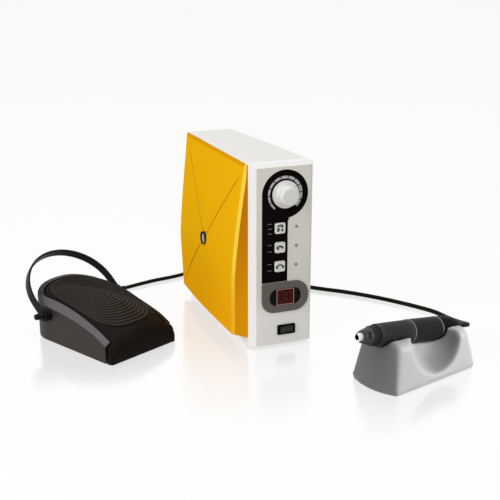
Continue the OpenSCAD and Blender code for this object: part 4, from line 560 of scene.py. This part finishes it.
def yellow_material():
    """Yellow plastic, deeper low down; painted shadow at the top, painted shade in the thin dark creases and
    on the deeper front edge, and painted highlight on the paler rim.
    """
    m = plastic("yellow_gloss", (0.91, 0.474, 0.0048), 0.96, 1100, 0.42, 0.08, 0.06, specular=0.0)
    t = Tree(m.node_tree)
    axes = t.axes()
    half = COVER_D / 2
    # Painted shade along the creases: dark lines on the crease grooves, fading towards the corners and weaker
    # on the lower front one
    y, z = t.math("SUBTRACT", axes["Y"], HUB_Y * MM), t.math("SUBTRACT", axes["Z"], HUB_Z * MM)
    across = t.math("ABSOLUTE", y)
    high, low = (COVER_Z1 - HUB_Z) / half, (HUB_Z - COVER_Z0) / half
    slope = t.math("ADD", t.math("MULTIPLY", t.math("GREATER_THAN", z, 0.0), high - low), low)
    away = t.math("ABSOLUTE", t.math("SUBTRACT", t.math("ABSOLUTE", z), t.math("MULTIPLY", across, slope)))
    line = t.math("MULTIPLY", t.fade(away, 0.4 * MM, 1.3 * MM, 1.0, 0.0),
                  t.fade(across, 0.72 * half * MM, 0.95 * half * MM, 1.0, 0.0))
    lower_front = t.math("MULTIPLY", t.math("LESS_THAN", y, 0.0), t.math("LESS_THAN", z, 0.0))
    line = t.math("MULTIPLY", line, t.math("SUBTRACT", 0.9, t.math("MULTIPLY", lower_front, 0.65)))
    foot = t.fade(axes["Z"], 15 * MM, 110 * MM, 0.55, 0.0)
    # Painted shadow: deeper orange just under the shell's top rim
    top = t.fade(axes["Z"], (COVER_Z1 - 5) * MM, (COVER_Z1 - 1.5) * MM, 0.0, 0.6)
    # Painted highlight: paler yellow along the front rim, stronger higher up
    rim = t.math("MULTIPLY", t.fade(axes["Y"], (COVER_Y0 + 4.2) * MM, (COVER_Y0 + 4.8) * MM, 1.0, 0.0),
                 t.fade(axes["Z"], 40 * MM, 120 * MM, 0.2, 1.0))
    # Painted shade: deeper orange on the front strip, less deep lower down
    edge = t.fade(axes["Y"], (COVER_Y0 + 0.02) * MM, (COVER_Y0 + 0.3) * MM, 1.0, 0.0)
    low_front_shade = t.math("MULTIPLY", edge, t.fade(axes["Z"], 30 * MM, 170 * MM, 1.0, 0.0))
    tone = t.nodes["Principled BSDF"].inputs["Base Color"]
    colour = tone.links[0].from_socket
    # Tints in turn: deeper low down, painted shadow at the top, painted highlight on the rim, painted shade
    # on the front strip eased low down, and painted shade in the creases
    for share, tint in (
        (foot, (0.92, 0.38, 0.004)), (top, (0.6, 0.24, 0.003)),
        (t.math("MULTIPLY", rim, 0.75), (1.0, 0.74, 0.09)),
        (edge, (0.68, 0.23, 0.004)), (low_front_shade, (0.9, 0.36, 0.004)), (line, (0.26, 0.095, 0.003)),
    ):
        colour = t.mix(share, colour, (*tint, 1))
    t.feed(tone, colour)
    return m


side_cover().data.materials.append(yellow_material())


def screw_shadow_ring():
    """A dark ring round the cover's screw, its black a painted shadow round the screw head: its section, as
    depth and radius, spun round the screw's axis.
    """
    face_x = COVER_BACK - cover_bulge(0.5, COVER_CROSS)
    section = ((face_x + 1.0, 7.35), (face_x - 2.0, 7.35), (face_x - 2.3, 7.75), (face_x + 1.0, 8.2))
    bm = bmesh.new()
    corners = [bm.verts.new((x * MM, HUB_Y * MM, (HUB_Z + r) * MM)) for x, r in section]
    sides = [bm.edges.new((corners[k], corners[(k + 1) % 4])) for k in range(4)]
    bmesh.ops.spin(bm, geom=corners + sides, cent=(0, HUB_Y * MM, HUB_Z * MM), axis=(1, 0, 0), angle=2 * pi,
                   steps=48, use_merge=True)
    bmesh.ops.remove_doubles(bm, verts=bm.verts, dist=1e-6)
    bmesh.ops.recalc_face_normals(bm, faces=bm.faces)
    return new_object("cover_screw_shadow_ring", bm, "root", 30)


# Painted shadow: a black ring round the cover's screw
screw_shadow_ring().data.materials.append(strap_black)


# Marks on the front panel: thin plates that lie on the face they are printed on
def plates(name, shapes, y, thick, body, material):
    """Flat outlines in X and Z, as one piece whose front lies thick in front of y."""
    bm = bmesh.new()
    for shape in shapes:
        face = bm.faces.new([bm.verts.new((px * MM, y * MM, pz * MM)) for px, pz in shape])
        grown = bmesh.ops.extrude_face_region(bm, geom=[face], use_keep_orig=True)["geom"]
        front = [g for g in grown if isinstance(g, bmesh.types.BMVert)]
        bmesh.ops.translate(bm, vec=(0, -thick * MM, 0), verts=front)
    bmesh.ops.recalc_face_normals(bm, faces=bm.faces)
    new_object(name, bm, body, 30).data.materials.append(material)


def oblong(x0, z0, x1, z1):
    return [(x0, z0), (x1, z0), (x1, z1), (x0, z1)]


def ring_piece(cx, cz, r0, r1, a0, a1, n=8, r0_end=None):
    """Part of a ring between two angles in degrees; the inner radius may change along it."""
    r0_end = r0 if r0_end is None else r0_end
    turn = [radians(lerp(a0, a1, k / n)) for k in range(n + 1)]
    outer = [(cx + r1 * cos(a), cz + r1 * sin(a)) for a in turn]
    inner = [(cx + r * cos(a), cz + r * sin(a))
             for r, a in ((lerp(r0, r0_end, k / n), a) for k, a in enumerate(turn))]
    return outer + inner[::-1]


def arrow_arc(cx, cz, r, w, a0, a1, head):
    """A bent arrow: an arc with a pointed end."""
    arc = ring_piece(cx, cz, r - w / 2, r + w / 2, a0, a1, 12)
    e = radians(a1)
    step = 1 if a1 > a0 else -1
    tip = radians(a1 + step * head / r * 57.3)
    point = [(cx + reach * cos(a), cz + reach * sin(a))
             for reach, a in ((r + w * 1.5, e), (r, tip), (r - w * 1.5, e))]
    return [arc, point]


PANEL_X, KNOB_Z, KEY_X, KEY_RISE = 3.5, 178.07, -2.5, 1.4
KEY_Z = UPPER_Z, MIDDLE_Z, LOWER_Z = 139.94, 117.79, 95.64
PRINT_T, SIGN_T = 0.06, 0.05
SCALE_MARKS, SCALE_START, SCALE_STEP, SCALE_SPAN = 11, 232, 25.6, 22.4
SCALE_OUT, SCALE_THIN, SCALE_WIDE = 20.6, 18.6, 16.6
marks = []
for k in range(SCALE_MARKS):
    a0 = SCALE_START - k * SCALE_STEP
    inner, inner_end = [lerp(SCALE_THIN, SCALE_WIDE, j / SCALE_MARKS) for j in (k, k + 1)]
    marks.append(ring_piece(PANEL_X, KNOB_Z, inner, SCALE_OUT, a0, a0 - SCALE_SPAN, 8, inner_end))
plates("speed_scale", marks, FRONT_Y, PRINT_T, "root", mark_white)

upper_feet = [[(KEY_X + x, UPPER_Z + z) for x, z in foot] for foot in (
    ((-4.2, -3.4), (-1.2, -3.4), (-0.8, 0.4), (-3.2, 1.2)),
    ((0.8, -3.4), (3.9, -3.4), (3.6, -1.2), (1.2, -0.6)))]
signs = {
    "upper": upper_feet + arrow_arc(KEY_X - 0.2, UPPER_Z - 0.2, 3.7, 1.9, 150, 55, 2.6),
    "middle": arrow_arc(KEY_X - 0.2, MIDDLE_Z - 2.0, 3.5, 2.1, 10, 140, 2.8),
    "lower": arrow_arc(KEY_X, LOWER_Z - 2.2, 4.2, 1.7, 92, 150, 2.6)
             + arrow_arc(KEY_X, LOWER_Z - 2.2, 4.2, 1.7, 88, 30, 2.6),
}
for label, shapes in signs.items():
    plates(label + "_key_sign", shapes, FRONT_Y - KEY_RISE, SIGN_T, "key_" + label, mark_black)
TICK_X0, TICK_X1, TICK_HALF = KEY_X - 14.6, KEY_X - 9.6, 0.3
ticks = [oblong(TICK_X0, z + dz - TICK_HALF, TICK_X1, z + dz + TICK_HALF)
         for z, offsets in zip(KEY_Z, ((5.6, 0, -5.6), (3.4, -4.2), (3.4, -4.2))) for dz in offsets]
plates("key_ticks", ticks, FRONT_Y, PRINT_T, "root", mark_grey)

# Display: red pane with its frame line and two digits
DISPLAY_X, DISPLAY_Z, WINDOW_Y = PANEL_X + 1.0, 59.0, FRONT_Y - 1.0
PANE_W, PANE_H, LINE_W = 20.0, 17.4, 0.7
PANE_T, FRAME_T, DIGIT_T = 0.05, 0.07, 0.04
DIGIT_X, DIGIT_W, DIGIT_H, BAR_W, BAR_GAP, LEAN = 4.6, 5.6, 11.5, 1.5, 0.25, 0.08
x0, x1 = DISPLAY_X - PANE_W / 2, DISPLAY_X + PANE_W / 2
z0, z1 = DISPLAY_Z - PANE_H / 2, DISPLAY_Z + PANE_H / 2
plates("display_pane", [oblong(x0, z0, x1, z1)], WINDOW_Y, PANE_T, "root", window_red)
plates("display_frame", [
    oblong(x0 - LINE_W, z0 - LINE_W, x1 + LINE_W, z0), oblong(x0 - LINE_W, z1, x1 + LINE_W, z1 + LINE_W),
    oblong(x0 - LINE_W, z0, x0, z1), oblong(x1, z0, x1 + LINE_W, z1)],
    WINDOW_Y, FRAME_T, "root", frame_pink)


def digit(cx, cz, lit):
    """The lit ones of a digit's seven bars, leaning a little."""
    def bar(ax, az, bx, bz):
        d = Vector((bx - ax, bz - az)).normalized()
        s = Vector((-d.y, d.x)) * BAR_W / 2
        a, b = Vector((ax, az)) + d * BAR_GAP, Vector((bx, bz)) - d * BAR_GAP
        in_a, in_b = a + d * BAR_W / 2, b - d * BAR_W / 2
        return [(cx + p.x + p.y * LEAN, cz + p.y) for p in (a, in_a + s, in_b + s, b, in_b - s, in_a - s)]
    l, r, u, m, d = -DIGIT_W / 2, DIGIT_W / 2, DIGIT_H / 2, 0, -DIGIT_H / 2
    bars = {"a": (l, u, r, u), "b": (r, u, r, m), "c": (r, m, r, d), "d": (l, d, r, d), "e": (l, m, l, d),
            "f": (l, u, l, m), "g": (l, m, r, m)}
    return [bar(*bars[k]) for k in lit]


digits = digit(DISPLAY_X - DIGIT_X, DISPLAY_Z, "abcdef") + digit(DISPLAY_X + DIGIT_X, DISPLAY_Z, "abcdef")
plates("display_digits", digits, WINDOW_Y - PANE_T, DIGIT_T, "root", segment_red)


# Collet: its mouth is painted dark, as painted shade in its bore
def off_axis(p):
    """Distance from the handpiece's axis."""
    return (p - HAND_POS).cross(HAND_DIR).length


MOUTH_R, MOUTH_DEEP = 2.3, 4
tip = softened("collet", 0.15, chrome)
tip.data.materials.append(black_gloss)
# Painted shade: faces within the bore's radius near the tip take black
for poly in tip.data.polygons:
    middle = poly.center / MM
    if off_axis(middle) < MOUTH_R and (middle - HAND_POS).dot(HAND_DIR) < MOUTH_DEEP:
        poly.material_index = 1


# Cradle and tread: the solids' forms, remeshed and smoothed so that their edges are soft
def soft_form(node, voxel, rounds, material):
    """The CAD form remeshed at a voxel size and smoothed for some rounds."""
    bm = copy_of(node)
    bmesh.ops.triangulate(bm, faces=bm.faces)
    obj = new_object(node + "_soft", bm, BODY_OF[node], 180, (node,))
    remesh = obj.modifiers.new("remesh", "REMESH")
    remesh.mode = "VOXEL"
    remesh.voxel_size = voxel
    smooth = obj.modifiers.new("smooth", "SMOOTH")
    smooth.factor = 0.5
    smooth.iterations = rounds
    mesh = evaluated_mesh(obj)
    obj.modifiers.clear()
    obj.data = mesh
    for poly in mesh.polygons:
        poly.use_smooth = True
    for v in mesh.vertices:
        v.co.z = max(v.co.z, 0.0)
    mesh.materials.clear()
    mesh.materials.append(material)
    return obj


def smooth_more(obj, rounds, picked, upright=True):
    """Rounds the form over once more where its points, in millimetres, are picked."""
    bm = bmesh.new()
    bm.from_mesh(obj.data)
    verts = [v for v in bm.verts if picked(v.co / MM)]
    for _ in range(rounds):
        bmesh.ops.smooth_vert(bm, verts=verts, factor=0.5, use_axis_x=True, use_axis_y=True,
                              use_axis_z=upright)
    bm.to_mesh(obj.data)
    bm.free()


FOOT_H, SADDLE_R = 4, 15.5
cradle = soft_form("cradle", 0.0011, 18, cradle_grey)
smooth_more(cradle, 40, lambda p: p.z > FOOT_H and off_axis(p) > SADDLE_R)
smooth_more(cradle, 40, lambda p: p.z <= FOOT_H, False)

# Spheres that bound the painted shade in the cradle's scoops: their height, shift along the cradle and
# distance to each side
SCOOP_Z, SCOOP_SHIFT, SCOOP_SIDE = 49.5, 5, 45


def scoop_shade_share(t):
    """Where the cradle's two scoops are, more towards their rear end, as a mask for painted shade."""
    way = Vector((cos(CRADLE_TURN), sin(CRADLE_TURN), 0))
    aside = Vector((-way.y, way.x, 0))
    middle = Vector((*CRADLE_AT, SCOOP_Z)) + SCOOP_SHIFT * way
    place = t.place()
    near, far = [t.measure("DISTANCE", place, (middle + side * aside) * MM)
                 for side in (-SCOOP_SIDE, SCOOP_SIDE)]
    scoop = t.fade(t.math("MINIMUM", near, far), 42.4 * MM, 45.5 * MM, 1.0, 0.0)
    start = middle.dot(way)
    rear = t.fade(t.measure("DOT_PRODUCT", place, way), (start - 26) * MM, (start + 4) * MM, 0.1, 0.72)
    return t.math("MULTIPLY", scoop, rear)


# Painted shade: the cradle's grey darkened in its two scoops, more towards their rear end
tinted(cradle_grey, (0.1, 0.1, 0.101), scoop_shade_share)

# Pedal: its slanted band flattens towards the toe, beside the tread's crowned top
SLOPE_R, WALL_H, BAND_H, CROWN, BAND_HALF, BAND_W = 227.0, 42.0, 7.5, 7.0, 42.0, 7
FLAT_FROM, FLAT_RUN, FLAT_SHARE, BAND_DEPTH, BOSS_SIDE = 20, 72, 0.65, 2.5, 49.1
ORIGIN = pedal_point(0, 0, 0)
TOE_WAY, SIDE_WAY = pedal_point(1, 0, 0) - ORIGIN, pedal_point(0, 1, 0) - ORIGIN


def on_pedal(p):
    """How far a point lies towards the pedal's toe, towards its far side and above the table."""
    return (p - ORIGIN).dot(TOE_WAY), (p - ORIGIN).dot(SIDE_WAY), p.z


base_soft = softened("pedal_base", 0.5, pedal_side)
for vert in base_soft.data.vertices:
    toe, side, z = on_pedal(vert.co / MM)
    past = abs(side) - BAND_HALF
    if toe > FLAT_FROM and past > 0 and z > WALL_H - SLOPE_R + sqrt(SLOPE_R ** 2 - toe ** 2) - BAND_DEPTH:
        vert.co.z += FLAT_SHARE * BAND_H * MM * min((toe - FLAT_FROM) / FLAT_RUN, 1) ** 1.5 * past / BAND_W
base_soft.data.update()
for extra in (pedal_band, strap_black, pedal_top):
    base_soft.data.materials.append(extra)
for poly in base_soft.data.polygons:
    side = on_pedal(poly.center / MM)[1]
    if abs(side) > BOSS_SIDE:
        poly.material_index = 2
    elif 0.35 < poly.normal.z < 0.95:
        poly.material_index = 1 if side < 0 else 3

# Tread: its toe rounded over, the far edge lifted and drawn in there, and both toe corners pushed forward
LIP_Z, TOP_Z = 6, 10
LIFT, LIFT_AT, LIFT_RUN, LIFT_SIDE, LIFT_WIDTH = 1.6, 96, 9, 33, 8
DRAWN, DRAWN_TOE, DRAWN_SIDE, DRAWN_FULL, DRAWN_RUN = 0.75, 91, 41, 93, 13
ROOM, ROOM_TOE, ROOM_SIDE, ROOM_WIDTH = 0.7, 100, 36, 5


def toe_part(low, toe_from, side_from=-BOSS_SIDE, both=False):
    """Picks points above a height, past a place towards the toe and past one towards the far or any side."""
    def picked(p):
        toe, side, z = on_pedal(p)
        return z > low and toe > toe_from and (abs(side) if both else side) > side_from
    return picked


tread = soft_form("pedal_tread", 0.001, 8, pedal_top)
smooth_more(tread, 20, toe_part(LIP_Z, 97))
smooth_more(tread, 30, toe_part(LIP_Z, 100, 38, True))
for vert in tread.data.vertices:
    toe, side, z = on_pedal(vert.co / MM)
    if z > TOP_Z and side > LIFT_SIDE:
        vert.co.z += (LIFT * MM * max(0, 1 - abs(toe - LIFT_AT) / LIFT_RUN)
                      * min((side - LIFT_SIDE) / LIFT_WIDTH, 1))
    if z > LIP_Z and toe > DRAWN_TOE and side > DRAWN_SIDE:
        vert.co -= SIDE_WAY * ((side - DRAWN_SIDE) * DRAWN * (1 - clamp((toe - DRAWN_FULL) / DRAWN_RUN)) * MM)
smooth_more(tread, 45, toe_part(TOP_Z, 86, 35))
for vert in tread.data.vertices:
    toe, side, z = on_pedal(vert.co / MM)
    if z > LIP_Z and toe > ROOM_TOE:
        vert.co += TOE_WAY * (ROOM * MM * clamp((abs(side) - ROOM_SIDE) / ROOM_WIDTH))
spring = softened("tread_spring", 0.15, steel)
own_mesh(spring)
softened("carry_handle", 0.6, strap_black)
softened("handle_screws", 0.4, strap_black)


def tread_top(s, v):
    """Height of the tread's crowned top."""
    r = SLOPE_R + BAND_H + CROWN * (1 - (v / BAND_HALF) ** 2)
    return WALL_H - SLOPE_R + (sqrt(r * r - s * s) if s > 0 else r)


def blunt(part, q):
    """A coordinate of a disc's point, moved out so that the disc fills its square better."""
    return copysign(q * abs(part / q) ** 0.72, part) if q else 0.0


RIBS, RIB_STEPS, RIB_H, MAT_T, MAT_LIFT, MAT_SIDES = 18, 8, 1.1, 0.6, 0.2, 160
MAT_HUB, MAT_MIDDLE, MAT_LONG, MAT_WIDE = 24, 41, 62.5, 39.8


def ribbed_mat():
    """A rib profile spun to a disc, then drawn out to a blunt oval that lies on the crowned tread."""
    count, top = RIBS * RIB_STEPS, MAT_LIFT + MAT_T
    bm = bmesh.new()
    line = [bm.verts.new((0, 0, top))]
    for i in range(1, count):
        wave = clamp(((i % RIB_STEPS) / RIB_STEPS - 0.12) / 0.76)
        line.append(bm.verts.new((i / count, 0, top + RIB_H * sin(pi * wave) ** 0.7)))
    line += [bm.verts.new((1, 0, top)), bm.verts.new((1, 0, MAT_LIFT))]
    profile = [bm.edges.new(pair) for pair in zip(line, line[1:])]
    bmesh.ops.spin(bm, geom=line + profile, cent=(0, 0, 0), axis=(0, 0, 1), angle=2 * pi, steps=MAT_SIDES,
                   use_merge=True)
    bmesh.ops.remove_doubles(bm, verts=bm.verts, dist=1e-5)
    # Faces on the rib crests take the paler rubber: painted highlight
    for face in bm.faces:
        middle = face.calc_center_median()
        face.material_index = int(0.35 < hypot(middle.x, middle.y) * RIBS % 1 < 0.75)
    for v in bm.verts:
        q = hypot(v.co.x, v.co.y)
        s = lerp(MAT_HUB, MAT_MIDDLE, q) + MAT_LONG * blunt(v.co.x, q)
        side = MAT_WIDE * blunt(v.co.y, q)
        v.co = pedal_point(s, side, tread_top(s, side) + v.co.z) * MM
    bmesh.ops.recalc_face_normals(bm, faces=bm.faces)
    obj = new_object("tread_mat_ribbed", bm, "tread", 70, ("tread_mat",))
    for material in (mat_rubber, mat_rib_highlight):
        obj.data.materials.append(material)


ribbed_mat()


# Floor, light and background
def seen_ray(t, share):
    """Share for rays that show the background: from the camera, in gloss or through glass; none for light."""
    path = t.node("LightPath").outputs
    most = t.math("MAXIMUM", path["Is Camera Ray"], path["Is Glossy Ray"])
    return t.math("MULTIPLY", t.math("MAXIMUM", most, path["Is Transmission Ray"]), share)


FLOOR_HALF = 12.0
FLOOR_LIT, FLOOR_SEEN, FLOOR_GLOW = (0.62, 0.61, 0.6, 1), (0.98, 0.975, 0.97, 1), (1, 0.995, 0.99, 1)
GLOW_SHARE, POLISH_IOR, POLISH_ROUGH = 0.92, 2.4, 0.16
POLISHED = (((0, 0, 0), 0.1, 0.3), ((-0.19, -0.02, 0), 0.07, 0.19), ((0.104, -0.225, 0), 0.05, 0.17))


def floor_material():
    """Pale floor that keeps shadows, with a faint polish that fades away from the object."""
    m = bpy.data.materials.new("floor_white")
    m.use_nodes = True
    t = Tree(m.node_tree)
    plain = t.fed(t.nodes["Principled BSDF"], {
        "Base Color": t.mix(seen_ray(t, 1.0), FLOOR_LIT, FLOOR_SEEN), "Roughness": 0.6,
        "Specular IOR Level": 0.0})
    glow = t.fed(t.node("Emission"), {"Color": FLOOR_GLOW, "Strength": 1.0})
    gloss = t.fed(t.node("BsdfAnisotropic"), {"Color": (1, 1, 1, 1), "Roughness": POLISH_ROUGH})
    sheen = t.fed(t.node("Fresnel"), {"IOR": POLISH_IOR})
    place = t.place()
    spots = [t.fade(t.measure("DISTANCE", place, spot), start, end, 1.0, 0.0, "LINEAR")
             for spot, start, end in POLISHED]
    near = t.math("MAXIMUM", t.math("MAXIMUM", spots[0], spots[1]), spots[2])
    matt = t.blend(seen_ray(t, GLOW_SHARE), plain[0], glow[0])
    polished = t.blend(t.math("MULTIPLY", sheen[0], near), matt, gloss[0])
    t.feed(t.nodes["Material Output"].inputs["Surface"], polished)
    return m


floor_bm = bmesh.new()
bmesh.ops.create_grid(floor_bm, x_segments=2, y_segments=2, size=FLOOR_HALF)
floor_mesh = bpy.data.meshes.new("floor")
floor_bm.to_mesh(floor_mesh)
floor_bm.free()
floor = bpy.data.objects.new("floor", floor_mesh)
scene.collection.objects.link(floor)
floor_mesh.materials.append(floor_material())


def area(name, place, target, size, power):
    """A square lamp at a place, turned to a target."""
    data = bpy.data.lights.new(name, "AREA")
    data.size = size
    data.energy = power
    obj = bpy.data.objects.new(name, data)
    obj.location = place
    obj.rotation_euler = (Vector(target) - Vector(place)).to_track_quat("-Z", "Y").to_euler()
    scene.collection.objects.link(obj)
    return obj


key_left = area("key_left", (-1.6, -0.55, 0.9), (0, 0, 0.1), 1.0, 18)
area("top_soft", (0.1, 0.2, 1.9), (0, 0, 0), 1.5, 13)
area("front_right", (0.9, -1.5, 0.7), (0.05, -0.1, 0.08), 0.7, 5)
cradle_front = area("cradle_front", (1.35, -0.95, 0.42), (0.104, -0.225, 0.03), 0.5, 38)
for lamp, state in ((key_left, "EXCLUDE"), (cradle_front, "INCLUDE")):
    linked = bpy.data.collections.new(lamp.name + "_receivers")
    lamp.light_linking.receiver_collection = linked
    linked.objects.link(cradle)
    linked.collection_objects[0].light_linking.link_state = state

world = bpy.data.worlds.new("studio")
scene.world = world
world.use_nodes = True
world.node_tree.nodes.clear()
tree = Tree(world.node_tree)
lit = tree.fed(tree.node("Background"), {"Color": (1, 0.99, 0.97, 1), "Strength": 0.34})
seen = tree.fed(tree.node("Background"), {"Color": (1, 1, 1, 1), "Strength": 1.0})
tree.fed(tree.node("OutputWorld"), {"Surface": tree.blend(seen_ray(tree, 1.0), lit[0], seen[0])})
scene.view_settings.view_transform = "Standard"
